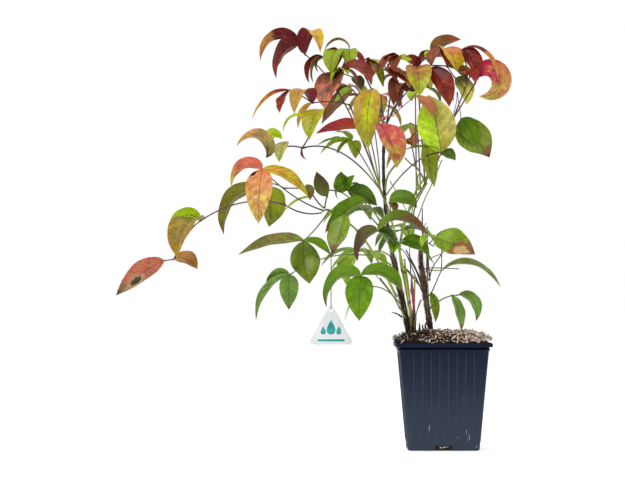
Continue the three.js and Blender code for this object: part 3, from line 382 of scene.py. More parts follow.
# Slender stalks among the canes: finish, the radius at each end, y, then the points (x, z) on their way.
SLENDER = [
    ("stalk", 0.6, 0.4, 34, (-46.3, 309.4), (-36.4, 318.3), (-25.2, 327.6)),
    ("stalk", 0.8, 0.6, 36, (-49.5, 307.1), (-42, 321.2), (-34.5, 333.4)),
    ("stalk", 0.5, 0.4, 38, (-51.3, 313.8), (-47.6, 319.4), (-51.3, 326.9)),
    ("stalk", 0.5, 0.4, -20, (8.5, 305.7), (12.2, 319.9), (12.7, 329.1)),
    ("stalk", 0.5, 0.4, -18, (16.4, 305.3), (14.1, 321), (13.2, 329.2)),
    ("stalk", 0.8, 0.6, -13, (-58.4, 242), (-64.5, 262.2), (-70.9, 285.3), (-73.7, 301.9)),
    ("stalk", 0.8, 0.6, -12, (-58.4, 242), (-61.7, 262.3), (-66.3, 285.3), (-68.1, 303.8)),
    ("stalk", 0.8, 0.6, -10, (-58.1, 242.1), (-58.9, 262.3), (-61.6, 285.4), (-63.5, 299.3)),
    ("stalk", 1.2, 1.1, -20, (-53.6, 239), (-51.7, 250), (-47.1, 258.3), (-39.8, 265.7)),
    ("stalk", 0.6, 0.5, -4, (-25.5, 194.2), (-29.2, 210.8), (-38.4, 230.2), (-48.6, 247.8)),
    ("green_cane", 1.1, 1, 4, (-38.2, 194.3), (-33.6, 212.8), (-29, 227.6), (-24.3, 238.8), (-16.9, 249.9)),
    ("stalk", 1, 0.8, 2, (-28.1, 209.1), (-25.3, 223.9), (-22.1, 231.8), (-14.2, 246.1)),
    ("stalk", 0.7, 0.5, -2, (-25.4, 206.2), (-17.1, 229.3), (-10.6, 243.2), (-0.4, 267.3)),
    ("stalk", 0.7, 0.5, -3, (-29.2, 209.9), (-28.2, 220.1), (-24.5, 239.5), (-22.2, 254.3)),
    ("stalk", 1, 0.7, 4, (-16.9, 249.9), (-23.4, 260.1), (-28.9, 263.8), (-34.5, 269.4)),
    ("stalk", 0.6, 0.4, 2, (-17.9, 203.5), (-15.1, 209.1)),
    ("dead", 0.7, 0.5, -2, (-13.5, 155.4), (-14.4, 172.9), (-15.3, 193.3)),
    ("dead", 0.7, 0.6, -4, (-12.6, 156.3), (-8.9, 168.3), (-1.5, 179.4), (2.2, 185.9)),
    ("dead", 0.7, 0.5, -6, (-10.8, 143.4), (-4.4, 158.2), (-1.2, 167.4), (-0.9, 187.7)),
    ("dead", 0.6, 0.5, -7, (-15.5, 167.4), (-1.6, 167.4), (15, 166.5)),
    ("dead", 0.6, 0.4, -5, (-14.5, 173.9), (-8.9, 177.5), (-1.5, 180.3)),
    ("dead", 0.7, 0.4, -6, (-12.7, 190.5), (-8.5, 187.7), (-7.6, 195.1), (-10.8, 198.8)),
    ("dead", 0.9, 0.7, -8, (-18.3, 151.7), (-25.7, 168.3), (-33.9, 184)),
    ("dead", 0.9, 0.6, -9, (-20.2, 149.8), (-28.9, 160), (-38.6, 172)),
    ("dead", 0.8, 0.6, -7, (-17.3, 143.4), (-23.8, 162.8), (-32.1, 177.5)),
    ("dead", 0.8, 0.6, -6, (-39.4, 129.5), (-46.8, 143.4), (-57.9, 158.2)),
    ("green_cane", 1, 0.9, -12, (-27.3, 112.1), (-26.2, 143.4), (-26.1, 160)),
    ("green_cane", 1.1, 0.9, -10, (-29, 113.9), (-30.3, 134.2), (-32.2, 151.7), (-35.5, 175.7)),
    ("dead", 0.5, 0.4, -14, (-24.9, 124.1), (-23.1, 131.4), (-20.9, 137.9)),
    ("dead", 0.7, 0.5, -6, (-18.5, 145), (-25, 159.5), (-33, 178.5), (-38.5, 185.5)),
    ("dead", 0.6, 0.4, -5, (-20, 155), (-27.5, 170.5), (-34, 180.5)),
    ("dead", 0.7, 0.4, -8, (-12, 130.5), (-19, 145), (-24, 156), (-36, 169.5)),
    ("dead", 0.6, 0.4, -4, (-29.5, 163), (-30.5, 185), (-31, 197), (-33.5, 207)),
    ("stalk", 0.8, 0.5, -6, (-34, 121), (-39.5, 130.5), (-47.5, 143.5), (-62.5, 162)),
    ("dead", 0.5, 0.4, -9, (-26, 122), (-20.5, 136), (-17.5, 140.5)),
    ("dead", 1.5, 0.8, -2, (-14.5, 109), (-16, 114), (-14.5, 117.5)),
    ("dead", 1.3, 0.6, -4, (-17, 110), (-18.5, 112.5), (-18.5, 115)),
    ("dead", 0.6, 0.4, -4, (-15, 163), (-14.5, 185), (-14, 206)),
]
# Each leaf finish: its colours at the base and at the tip.
LEAF_TINTS = {
    "brown": ("#826434", "#785a2d"), "brown_rust": ("#8a5a34", "#7a4a30"), "coral": ("#d25a2d", "#c8642d"),
    "coral_brown": ("#a8603c", "#9c6a44"), "coral_lime": ("#cc6650", "#b8a43c"),
    "coral_red": ("#be4446", "#a89c38"), "crimson": ("#9c3214", "#8a1220"),
    "dark_brown": ("#46301c", "#3a2418"), "gold": ("#c8962d", "#bea034"),
    "gold_orange": ("#c8a62c", "#b0ac20"), "green": ("#62880a", "#587e0c"),
    "green_blotch": ("#769600", "#749002"), "green_brown": ("#76961e", "#84923a"),
    "green_dark": ("#3e5f0a", "#4a690c"), "green_lime": ("#749a08", "#86a60a"),
    "green_pale": ("#8caa24", "#96b428"), "green_purple": ("#62860a", "#6e4634"),
    "green_soft": ("#729640", "#6c9038"), "green_vivid": ("#5a8803", "#668c08"),
    "grey_olive": ("#76863c", "#7c8c46"), "lime": ("#aac809", "#96b409"), "lime_dull": ("#88961a", "#7e8a1a"),
    "lime_gold": ("#b0a01a", "#98a016"), "lime_half": ("#a0963e", "#a89c48"),
    "lime_olive": ("#93a81c", "#8a9a20"), "maroon": ("#68100e", "#902e22"),
    "maroon_gold": ("#c8962c", "#cda428"), "maroon_tan": ("#6a1220", "#c48a48"),
    "olive": ("#6e7312", "#786e1e"), "olive_brown": ("#6f7a20", "#6a6a20"),
    "olive_dark": ("#5f6a18", "#4a3520"), "olive_green": ("#6e8c0d", "#64820d"),
    "olive_lime": ("#829612", "#788c12"), "olive_pale": ("#6e6e25", "#bebe52"),
    "olive_rust": ("#8a7a20", "#9c7a26"), "olive_shade": ("#5c7414", "#6c7e20"),
    "olive_tan": ("#7c7434", "#c09458"), "orange": ("#d47c50", "#c4a840"),
    "orange_gold": ("#d76e34", "#c8aa1e"), "orange_lime": ("#b5693a", "#a0a820"),
    "pink_lime": ("#b41c44", "#a8963c"), "red_brown": ("#7a261e", "#8e3c2c"),
    "rose_brown": ("#b46e43", "#aa643c"), "rust": ("#8c3c21", "#823c21"), "rust_gold": ("#aa461e", "#cd962d"),
    "rust_green": ("#66702a", "#5c4030"), "rust_olive": ("#74501c", "#8a4828"),
    "salmon": ("#621c10", "#c87858"), "tan": ("#be8c43", "#aa783c"), "tan_green": ("#a8985c", "#98a440"),
    "tan_maroon": ("#be8434", "#ac8830"), "yellow": ("#b8902c", "#94922c"),
}
# What else some of them show, in the words of leaf_finish.
LEAF_MARKS = {
    "coral_brown": {
        "browned": 0.2, "blotched": ("#c0485c", 0.7),
        "spots": [(0.62, -0.4, 0.75, "#a8845c"), (0.58, -0.35, 0.4, "#2e280c")],
    },
    "coral_lime": {"turn": (0.35, 1.0)},
    "coral_red": {"turn": (0.4, 0.85), "blotched": ("#dc8878", 0.35)},
    "gold_orange": {"blotched": ("#d8803c", 0.7)},
    "green": {"browned": 0.12},
    "green_blotch": {
        "browned": 0.24, "spots": [(0.76, -0.4, 1.05, "#8a5430"), (0.71, -0.4, 0.62, "#ccaa74")],
    },
    "green_brown": {"browned": 0.2},
    "green_soft": {"browned": 0.12},
    # The lime half is partly the leaf's own colour and partly painted light on that side.
    "lime_half": {"half": "#b0da0c", "blotched": ("#bcc860", 0.3)},
    "maroon_gold": {"below": "#6e1420"},
    "maroon_tan": {"turn": (0.42, 0.6), "stray": 0.3},
    "olive_brown": {"blotched": ("#6e4a30", 0.8)},
    "olive_tan": {"turn": (0.3, 0.65), "stray": 0.5},
    "orange": {"blotched": ("#d8ac7c", 0.7), "spots": [(0.13, -0.78, 0.22, "#1c0c08")]},
    "pink_lime": {"turn": (0.3, 0.75), "blotched": ("#b8505c", 0.6)},
    "rust_green": {"turn": (0.05, 0.5), "blotched": ("#5a3a28", 0.5)},
    "salmon": {"turn": (0.25, 0.9)},
    "tan_maroon": {"below": "#7a2028"},
    "yellow": {"heart": "#b4ba10"},
}


def seeded(seed):
    """Numbers from 0 to 1 in the order that the CAD source draws them."""
    state = seed
    while True:
        state = state * 16807 % 2147483647
        yield state / 2147483647


def lerp(a, b, t):
    return a + (b - a) * t


def eased(low, high, value):
    """0 below low, 1 above high, and a smooth rise between."""
    t = min(max((value - low) / (high - low), 0), 1)
    return t * t * (3 - 2 * t)


def shares(count):
    """From 0 to 1 in so many equal steps."""
    return [i / count for i in range(count + 1)]


def measured(line):
    """How far along the line each of its points is."""
    run = [0.0]
    for a, b in zip(line, line[1:]):
        run.append(run[-1] + (b - a).length)
    return run


def curved(start, control, end, steps):
    """Points from the start to the end, on a curve that leans to the control."""
    return [start * (1 - t) ** 2 + control * 2 * t * (1 - t) + end * t * t for t in shares(steps)]


def bowed(start, end, bow, steps=STALK.steps):
    """Points of a stalk that bows up in its middle."""
    return curved(start, (start + end) / 2 + UP * 2 * bow, end, steps)


# ---- materials ----


def tone(code):
    """The linear colour of an sRGB code such as #4f8a22."""
    channels = [int(code[i : i + 2], 16) / 255 for i in (1, 3, 5)]
    return (*[c / 12.92 if c <= 0.04045 else ((c + 0.055) / 1.055) ** 2.4 for c in channels], 1.0)


class Value:
    """A node's output that takes part in sums: each operator adds its Math node."""

    def __init__(self, shader, socket):
        self.shader = shader
        self.socket = socket

    def maths(self, operation, *values):
        return self.shader.node("ShaderNodeMath", {"operation": operation}, dict(enumerate(values)))

    def __add__(self, other):
        return self.maths("ADD", self, other)

    def __sub__(self, other):
        return self.maths("SUBTRACT", self, other)

    def __rsub__(self, other):
        return self.maths("SUBTRACT", other, self)

    def __mul__(self, other):
        return self.maths("MULTIPLY", self, other)

    def __truediv__(self, other):
        return self.maths("DIVIDE", self, other)

    def __pow__(self, power):
        return self.maths("POWER", self, power)

    def __abs__(self):
        return self.maths("ABSOLUTE", self)

    __radd__ = __add__
    __rmul__ = __mul__

    def swing(self, width=1.0):
        """A noise around 0.5 made one around 0, of that width."""
        return (self - 0.5) * width

    def folded(self, period):
        """A zigzag between 0 and the period."""
        return self.maths("PINGPONG", self, period)

    def rising(self, low, high):
        """0 below low, 1 above high, smooth between; low may be the greater, and it then falls."""
        if low > high:
            return 1 - self.rising(high, low)
        span = {"Value": self, "From Min": low, "From Max": high}
        return self.shader.node("ShaderNodeMapRange", {"interpolation_type": "SMOOTHSTEP"}, span)


class Shader:
    """A node tree in the making."""

    def __init__(self, tree):
        self.tree = tree

    def node(self, kind, settings=None, inputs=None, output=0):
        """Adds a node, with its settings first and then its sockets' values or links."""
        made = self.tree.nodes.new(kind)
        for name, value in (settings or {}).items():
            setattr(made, name, value)
        for name, value in (inputs or {}).items():
            self.feed(made.inputs[name], value)
        return Value(self, made.outputs[output])

    def feed(self, socket, value):
        """Links a value to the socket, or sets a number, a vector or a colour code there."""
        if isinstance(value, Value):
            self.tree.links.new(value.socket, socket)
        else:
            socket.default_value = tone(value) if isinstance(value, str) else value

    def part(self, vector, axis):
        """The vector's x, y or z, for axis 0, 1 or 2."""
        return self.node("ShaderNodeSeparateXYZ", None, {"Vector": vector}, output=axis)


class Finish(Shader):
    """A material in the making, around one Principled BSDF."""

    def __init__(self, name, **fixed):
        self.material = bpy.data.materials.new(name)
        self.material.use_nodes = True
        super().__init__(self.material.node_tree)
        self.surface = self.tree.nodes["Principled BSDF"].inputs
        for socket, value in fixed.items():
            self.surface[socket.replace("_", " ")].default_value = value

    def shown(self, colour, rough, normal=None):
        """The finished material, with its colour, roughness and normal."""
        self.feed(self.surface["Base Color"], colour)
        self.feed(self.surface["Roughness"], rough)
        if normal:
            self.feed(self.surface["Normal"], normal)
        return self.material

    def attribute(self, name, output="Fac"):
        return self.node("ShaderNodeAttribute", {"attribute_name": name}, output=output)

    def place(self, upright=None):
        """The point in the object's own frame; a share under 1 draws a pattern out along Z."""
        place = self.node("ShaderNodeTexCoord", output="Object")
        if upright is None:
            return place
        scale = {0: place, 1: (1, 1, upright)}
        return self.node("ShaderNodeVectorMath", {"operation": "MULTIPLY"}, scale)

    def cloud(self, vector, scale, detail=3.0, clumped=0.55):
        """Noise from 0 to 1 around 0.5."""
        inputs = {"Vector": vector, "Scale": scale, "Detail": detail, "Roughness": clumped}
        return self.node("ShaderNodeTexNoise", None, inputs)

    def mixed(self, share, one, other):
        """The first colour at share 0, the second at 1."""
        return self.node("ShaderNodeMix", {"data_type": "RGBA"}, {0: share, 6: one, 7: other}, output=2)

    def raised(self, height, depth, strength=1.0):
        """A normal from a height between 0 and 1 that stands for that depth in millimetres."""
        inputs = {"Height": height, "Distance": depth * MM, "Strength": strength}
        return self.node("ShaderNodeBump", None, inputs)


def grained_finish(
    name, tones, scale, detail=2, clumped=0.55, upright=None, between=(0.3, 0.7), rough=0.5, uneven=0,
    depth=0, **fixed,
):
    """Two tones mixed by one noise, which also varies the roughness and raises the surface where asked."""
    finish = Finish(name, **fixed)
    grain = finish.cloud(finish.place(upright), scale, detail, clumped)
    colour = finish.mixed(grain.rising(*between) if between else grain, *tones)
    if uneven:
        rough = grain.swing(uneven) + rough
    return finish.shown(colour, rough, finish.raised(grain, depth) if depth else None)


def leaf_finish(
    name, base, tip, turn=(0.15, 0.85), stray=1.2, below=None, half=None, heart=None, blotched=None,
    browned=0, spots=(),
):
    """A leaflet's skin: its tints along it, mottling and veins, and the marks that some of them show.

    turn is where base gives way to tip, and stray how unevenly; below is the underside's colour, half that
    of one side of the midrib, partly its own colour and partly painted light on that side, heart that of the
    middle, blotched that of patches and how strong they are; browned is the dead share at the tip, and a spot
    is (place along, place across, size, colour). The pale ribs carry a painted sheen, and the puckers
    between them painted light and shade.
    """
    finish = Finish("leaf_" + name, **LEAF_SKIN)
    along, across, under = [finish.attribute(value) for value in ("along", "across", "under")]
    blade = finish.attribute("blade", "Vector")
    out = abs(across)
    drift = finish.cloud(blade, 0.09, detail=2).swing()
    mottle = finish.cloud(blade, 0.45, detail=5, clumped=0.65).swing()
    colour = finish.mixed((along + drift * stray + mottle * 0.1).rising(*turn), base, tip)
    # half: one side of the midrib turns lime, partly its own colour and partly painted light on that side.
    if half:
        colour = finish.mixed((across + mottle * 0.8).rising(-0.05, 0.1) * 0.8, colour, half)
    if blotched:
        patches = (finish.cloud(blade, 0.2, detail=4, clumped=0.6) + out * 0.04).rising(0.5, 0.6)
        colour = finish.mixed(patches * blotched[1], colour, blotched[0])
    if heart:
        inner = (1 - out * 1.1 - abs(along - 0.45) * 1.1 + mottle * 0.8).rising(0.2, 0.7)
        colour = finish.mixed(inner * 0.9, colour, heart)
    midrib = out.rising(0.07, 0.015)
    vein_phase_and_painted_shade = (along * 7 - out * 1.5 + drift * 0.6).folded(0.5)
    ribs = vein_phase_and_painted_shade.rising(0.07, 0.0) * out.rising(1.0, 0.5)
    flecks = finish.cloud(blade, 0.7, clumped=0.7).rising(0.62, 0.72)
    # Dark midrib, pale ribs (partly vein colour, partly painted sheen) and brown flecks.
    for share, code in ((midrib * 0.6, VEIN_TINT), (ribs * 0.16, PALE_RIB_AND_SHEEN_TINT), (flecks * 0.12, FLECK_TINT)):
        colour = finish.mixed(share, colour, code)
    # Painted light and shade: across each pucker between the veins the tone ramps from dark to light; mottle
    # and drift vary it at random.
    shade = mottle * 1.2 + drift * 1.3 + vein_phase_and_painted_shade * 0.6 + 0.85
    colour = finish.node("ShaderNodeVectorMath", {"operation": "SCALE"}, {0: colour, "Scale": shade})
    if browned:
        edge = along + drift * 0.25 + mottle * 0.12
        colour = finish.mixed(edge.rising(1 - browned - 0.05, 1 - browned + 0.03), colour, BROWNED[0])
        colour = finish.mixed(edge.rising(1 - browned * 0.55, 1 - browned * 0.35), colour, BROWNED[1])
    for at, aside, size, code in spots:
        off = (((along - at) * 3.5) ** 2 + (across - aside) ** 2) / size**2 + mottle * 3
        colour = finish.mixed(off.rising(1.15, 0.75), colour, code)
    if below:
        colour = finish.mixed(under, colour, below)
    height = 1 - midrib * 0.6 - ribs * 0.3 + mottle * 0.35
    rough = 0.33 + mottle * 0.25 + under * 0.2
    return finish.shown(colour, rough, finish.raised(height, 0.28, 0.6))


def stalk_finish():
    """Leaf stalks: green where flush is 0, purple brown where it is 1, darker at the joints."""
    finish = Finish("leaf_stalk")
    mottle = finish.cloud(finish.place(0.35), 900)
    change = (finish.attribute("flush") + mottle.swing(0.7)).rising(0.2, 0.8)
    colour = finish.mixed(change, "#76862c", "#4a2a30")
    colour = finish.mixed(finish.attribute("knot"), colour, "#33161f")
    return finish.shown(colour, 0.45 + mottle.swing(0.3), finish.raised(mottle, 0.1, 0.5))


def bark_finish(name, darkens):
    """The woody canes: dark at the foot, olive brown above, near black from that share of the way up."""
    finish = Finish(name)
    rise = finish.attribute("rise")
    height = finish.part(finish.place(), 2)
    fibres = finish.cloud(finish.place(0.12), 1500, detail=5, clumped=0.7)
    patches = finish.cloud(finish.place(0.4), 180)
    low = finish.mixed(fibres.rising(0.35, 0.68), "#2c1e18", "#8a6a58")
    low = finish.mixed((patches - 0.5).rising(0, 0.12) * 0.7, low, "#7d7440")
    low = finish.mixed(height.rising(0.132, 0.108) * 0.75, low, "#1c1210")
    high = finish.mixed(fibres.rising(0.3, 0.75), "#1d1211", "#3d2823")
    colour = finish.mixed((rise + patches.swing(0.2)).rising(darkens, darkens + 0.2), low, high)
    return finish.shown(colour, 0.85 - rise * 0.25 + fibres.swing(0.3), finish.raised(fibres, 0.7))


def green_cane_finish():
    """The young canes: yellow green, with reddish streaks and dark joints."""
    finish = Finish("green_cane")
    streaks = finish.cloud(finish.place(0.15), 1200, detail=4)
    patches = finish.cloud(finish.place(0.4), 120, detail=2)
    colour = finish.mixed(streaks.rising(0.3, 0.7), "#7f9a1c", "#a9bc40")
    reddened = (patches + finish.attribute("rise") * 0.5 - 0.44).rising(0.35, 0.62)
    colour = finish.mixed(reddened * 0.8, colour, "#6a4334")
    colour = finish.mixed(finish.attribute("knot"), colour, "#3c2a1f")
    return finish.shown(colour, 0.5 + streaks.swing(0.3), finish.raised(streaks, 0.2, 0.6))


def shoot_finish():
    """The young shoot: brown sheaths at its foot, and magenta above."""
    finish = Finish("young_shoot")
    streaks = finish.cloud(finish.place(0.15), 1300, detail=4)
    light = streaks.rising(0.3, 0.7)
    top = finish.mixed(light, "#6a0a38", "#b82c6c")
    foot = finish.mixed(light, "#3b2019", "#8a6a3a")
    colour = finish.mixed((finish.attribute("rise") + streaks.swing(0.3)).rising(0.4, 0.62), foot, top)
    return finish.shown(colour, 0.55 + streaks.swing(0.3), finish.raised(streaks, 0.3, 0.7))


def pot_finish(name, lift=0.0):
    """Moulded black plastic with a blue cast: satin, lighter towards its foot as a painted reflection of the
    floor, with painted shade in the recess under the lip; lift lightens it all over, a painted highlight for
    the ribs.
    """
    finish = Finish(name, Specular_IOR_Level=0.12)
    place = finish.place()
    height = finish.part(place, 2) / MM
    haze = finish.cloud(place, 38)
    grain = finish.cloud(place, 2600, detail=2)
    # Painted reflection of the floor: lighter towards the foot, with a random haze; lift lightens it all
    # over.
    painted_reflection = (height + haze.swing(30)).rising(POT.height, 0) * 0.9 + haze.swing(0.2) + lift
    colour = finish.mixed(painted_reflection, "#0c1830", "#394150")
    # Painted shade in the recess under the lip.
    painted_recess_shade = height.rising(BAND_FOOT - 0.5, BAND_FOOT) * height.rising(BAND_TOP, BAND_TOP - 0.5)
    colour = finish.mixed(painted_recess_shade * 0.9, colour, "#010309")
    cells = finish.node("ShaderNodeTexVoronoi", None, {"Vector": place, "Scale": 210})
    flecks = cells.rising(0.09, 0.05) * finish.cloud(place, 60, detail=1).rising(0.6, 0.66)
    colour = finish.mixed(flecks * 0.6, colour, "#9aa0a8")
    rough = 0.46 + haze.swing(0.2) + grain.swing(0.1) + painted_reflection * 0.15
    return finish.shown(colour, rough, finish.raised(grain, 0.05, 0.4))


def chip_finish():
    """Bark chips: each has its own tone, from near black to pale pinkish tan, with grain."""
    finish = Finish("bark_chip")
    tint = finish.attribute("tint")
    grain = finish.cloud(finish.place(), 1100, detail=4, clumped=0.7)
    colour = finish.mixed(tint.rising(0.05, 0.4), "#120b08", "#3f281b")
    colour = finish.mixed(tint.rising(0.36, 0.58), colour, "#96705a")
    colour = finish.mixed(tint.rising(0.54, 0.85), colour, "#fae6d8")
    colour = finish.mixed((grain - 0.5).rising(0, 0.25) * 0.35, colour, "#2a1a12")
    return finish.shown(colour, 0.85 + grain.swing(0.2), finish.raised(grain, 0.4))


# ---- meshes ----


def linked(name, data):
    """A new object in the scene."""
    made = bpy.data.objects.new(name, data)
    bpy.context.scene.collection.objects.link(made)
    return made


def smoothed(mesh, sharp):
    """Smooth shading, with the edges that turn more than so many degrees kept sharp."""
    mesh.shade_smooth()
    mesh.set_sharp_from_angle(angle=math.radians(sharp))


class Gathered:
    """The points, faces and per-point values of one piece, joined from many small shapes."""

    def __init__(self):
        self.points = []
        self.faces = []
        self.slots = []
        self.values = {}

    def add(self, points, faces, slot=0, **values):
        """Joins a shape on; a value is a list with one for each point, or one number for all."""
        first = len(self.points)
        self.points += points
        self.faces += [tuple(first + i for i in face) for face in faces]
        self.slots += [slot] * len(faces)
        for name, held in values.items():
            listed = held if isinstance(held, list) else [held] * len(points)
            self.values.setdefault(name, []).extend(listed)

    def made(self, name, finishes, sharp=50):
        mesh = bpy.data.meshes.new(name)
        mesh.from_pydata([p * MM for p in self.points], [], self.faces)
        for finish in finishes:
            mesh.materials.append(finish)
        mesh.polygons.foreach_set("material_index", self.slots)
        for value, held in self.values.items():
            if isinstance(held[0], Vector):
                layer = mesh.attributes.new(value, "FLOAT_VECTOR", "POINT")
                layer.data.foreach_set("vector", [x for vector in held for x in vector])
            else:
                layer = mesh.attributes.new(value, "FLOAT", "POINT")
                layer.data.foreach_set("value", held)
        smoothed(mesh, sharp)
        return linked(name, mesh)


def dressed(piece, slot, *nodes):
    """The piece rides on the plant's one body and stands for the nodes, which it hides; the slot is not used.
    """
    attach(piece, "root")
    if nodes:
        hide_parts(*nodes)


def grid_faces(rows, columns, closed=False):
    """Quads between rows of points, joined round each row where closed."""
    faces = []
    for i in range(rows - 1):
        for k in range(columns if closed else columns - 1):
            a = i * columns + k
            b = i * columns + (k + 1) % columns
            faces.append((a, b, b + columns, a + columns))
    return faces


def capped_faces(rows, sides):
    """The faces of rings of points that stand one on another, closed at both ends."""
    ends = [tuple(reversed(range(sides))), tuple(range((rows - 1) * sides, rows * sides))]
    return grid_faces(rows, sides, closed=True) + ends


def rim(rows, columns):
    """The points round the edge of a grid: up its first column, and round from there."""
    up, last = [i * columns for i in range(rows)], (rows - 1) * columns
    down = [i + columns - 1 for i in reversed(up[:-1])]
    return up + list(range(last + 1, last + columns)) + down + list(range(columns - 2, 0, -1))


def tube(line, radii, sides):
    """A closed round tube along a line of points, with a radius at each."""
    points = []
    across = None
    for i, centre in enumerate(line):
        ahead = (line[min(i + 1, len(line) - 1)] - line[max(i - 1, 0)]).normalized()
        if across is None:
            across = ahead.orthogonal().normalized()
        across = (across - ahead * across.dot(ahead)).normalized()
        other = ahead.cross(across)
        for k in range(sides):
            angle = math.tau * k / sides
            points.append(centre + (across * math.cos(angle) + other * math.sin(angle)) * radii[i])
    return points, capped_faces(len(line), sides)


# ---- canes ----


class Limb:
    """A cane or stalk: the smooth curve through its rows, read at a share of its length."""

    FINENESS = 24

    def __init__(self, rows):
        self.points = [Vector(row[:3]) for row in rows]
        self.radii = [row[3] for row in rows]
        count = (len(rows) - 1) * self.FINENESS
        self.line = [self.point(i / self.FINENESS) for i in range(count + 1)]
        self.run = measured(self.line)
        self.length = self.run[-1]

    def point(self, t):
        i = min(int(t), len(self.points) - 2)
        u = t - i
        b, c = self.points[i : i + 2]
        a = self.points[i - 1] if i else 2 * b - c
        d = self.points[i + 2] if i + 2 < len(self.points) else 2 * c - b
        return (2 * b + (c - a) * u + (2 * a - 5 * b + 4 * c - d) * u**2 + (3 * b - a - 3 * c + d) * u**3) / 2

    def at(self, share):
        """Place, direction and radius."""
        wanted = share * self.length
        i = 0
        while i < len(self.run) - 2 and self.run[i + 1] < wanted:
            i += 1
        u = (wanted - self.run[i]) / (self.run[i + 1] - self.run[i])
        t = (i + u) / self.FINENESS
        k = min(int(t), len(self.radii) - 2)
        ahead = (self.line[i + 1] - self.line[i]).normalized()
        return self.line[i].lerp(self.line[i + 1], u), ahead, lerp(*self.radii[k : k + 2], t - k)


LIMB = {name: Limb(rows) for name, rows in LIMBS.items()}


def cane(limb, sides, spacing, roughness, knot_every, seed):
    """A cane's surface: uneven, ridged along its length, and swollen at its joints."""
    draw = random.Random(seed)
    knots = []
    at = draw.uniform(*CANE.first_knot) * knot_every
    while at < limb.length:
        knots.append(at)
        at += knot_every * draw.uniform(*CANE.next_knot)
    line, radii, rise, knot = [], [], [], []
    for share in shares(int(limb.length / spacing)):
        place, _, radius = limb.at(share)
        near = max([math.exp(-(((share * limb.length - k) / CANE.knot) ** 2)) for k in knots], default=0)
        line.append(place)
        radii.append(radius * (CANE.girth + CANE.swell * near))
        rise += [share] * sides
        knot += [near] * sides
    points, faces = tube(line, radii, sides)
    for n, point in enumerate(points):
        centre = line[n // sides]
        grain = noise.noise(point * Vector(CANE.grain) + Vector((seed, 0, 0)))
        lump = noise.noise(point * CANE.lump + Vector((0, seed, 0)))
        points[n] = centre + (point - centre) * (1 + roughness * (CANE.grained * grain + CANE.lumped * lump))
    shape = Gathered()
    shape.add(points, faces, rise=rise, knot=knot)
    return shape


def sheaths(limb, top, count, seed):
    """Torn strips of old leaf sheath that cling round the foot of a cane, their tips standing off."""
    draw = random.Random(seed)
    shape = Gathered()
    for _ in range(count):
        start, length = draw.uniform(0.03, top), draw.uniform(*SHEATH.length)
        angle = draw.uniform(0, math.tau)
        width, lift = draw.uniform(*SHEATH.width), draw.uniform(*SHEATH.lift)
        tint = draw.uniform(0.0, 0.3) + 0.45 * draw.random() * min(start * 2, 1)
        points = []
        for t in shares(SHEATH.rows - 1):
            place, ahead, radius = limb.at(min(start + t * length / limb.length, 1))
            out = Matrix.Rotation(angle + SHEATH.twist * t, 3, ahead) @ ahead.orthogonal().normalized()
            aside = ahead.cross(out)
            half = width * (1 - t) ** 0.6 / 2 + 0.05
            face = place + out * (radius * 0.98 + 0.15 + lift * t**2)
            points += [face + aside * half * s + out * proud for s, proud in SHEATH.section]
        shape.add(points, grid_faces(SHEATH.rows, 3), tint=tint)
    return shape


def canes(finishes):
    """Each limb's own piece, and the slender stalks that rise among them."""
    for name, (finish, slot, *shaped) in CANE_LOOK.items():
        dressed(cane(LIMB[name], *shaped).made(name + "_surface", [finishes[finish]]), slot, name)
    for name, shaped in SHEATHED.items():
        dressed(sheaths(LIMB[name], *shaped).made(name + "_sheaths", [finishes["chip"]]), "bark")
    slender = {"stalk": Gathered(), "green_cane": Gathered(), "dead": Gathered()}
    for kind, first, last, y, *line in SLENDER:
        limb = Limb([(x, y, z, 0) for x, z in line])
        places = [limb.at(share)[0] for share in shares(STALK.slender_steps)]
        add_stalk(slender[kind], places, first, last, STALK.slender_knots)
    for kind, shape in slender.items():
        slot = "dead_stem" if kind == "dead" else "green_stem"
        dressed(shape.made("slender_%s_stalks" % kind, [finishes[kind]]), slot)


# ---- leaflets and fronds ----


def midrib(reach, arch):
    """A leaflet's midrib from its base: an arc that bends most where it leaves the stalk."""
    along = reach.normalized()
    side = UP.cross(Vector((reach.x, reach.y, 0)).normalized())
    lift = along.cross(side)
    turn = 4 * math.atan(2 * arch / reach.length)
    flat = [0j]
    for k in range(LEAF.steps):
        heading = turn * ((1 - (k + 0.5) / LEAF.steps) ** LEAF.bend - 0.5)
        flat.append(flat[k] + complex(math.cos(heading), math.sin(heading)))
    spine = [p * reach.length / flat[-1] for p in flat]
    return [along * p.real + lift * p.imag for p in spine], side


def outline(t):
    """How wide a leaflet is, as a share of its widest, from its base at 0 to its drawn-out tip at 1."""
    widest = LEAF.swell / (LEAF.swell + LEAF.taper)
    return (t / widest) ** LEAF.swell * ((1 - t) / (1 - widest)) ** LEAF.taper


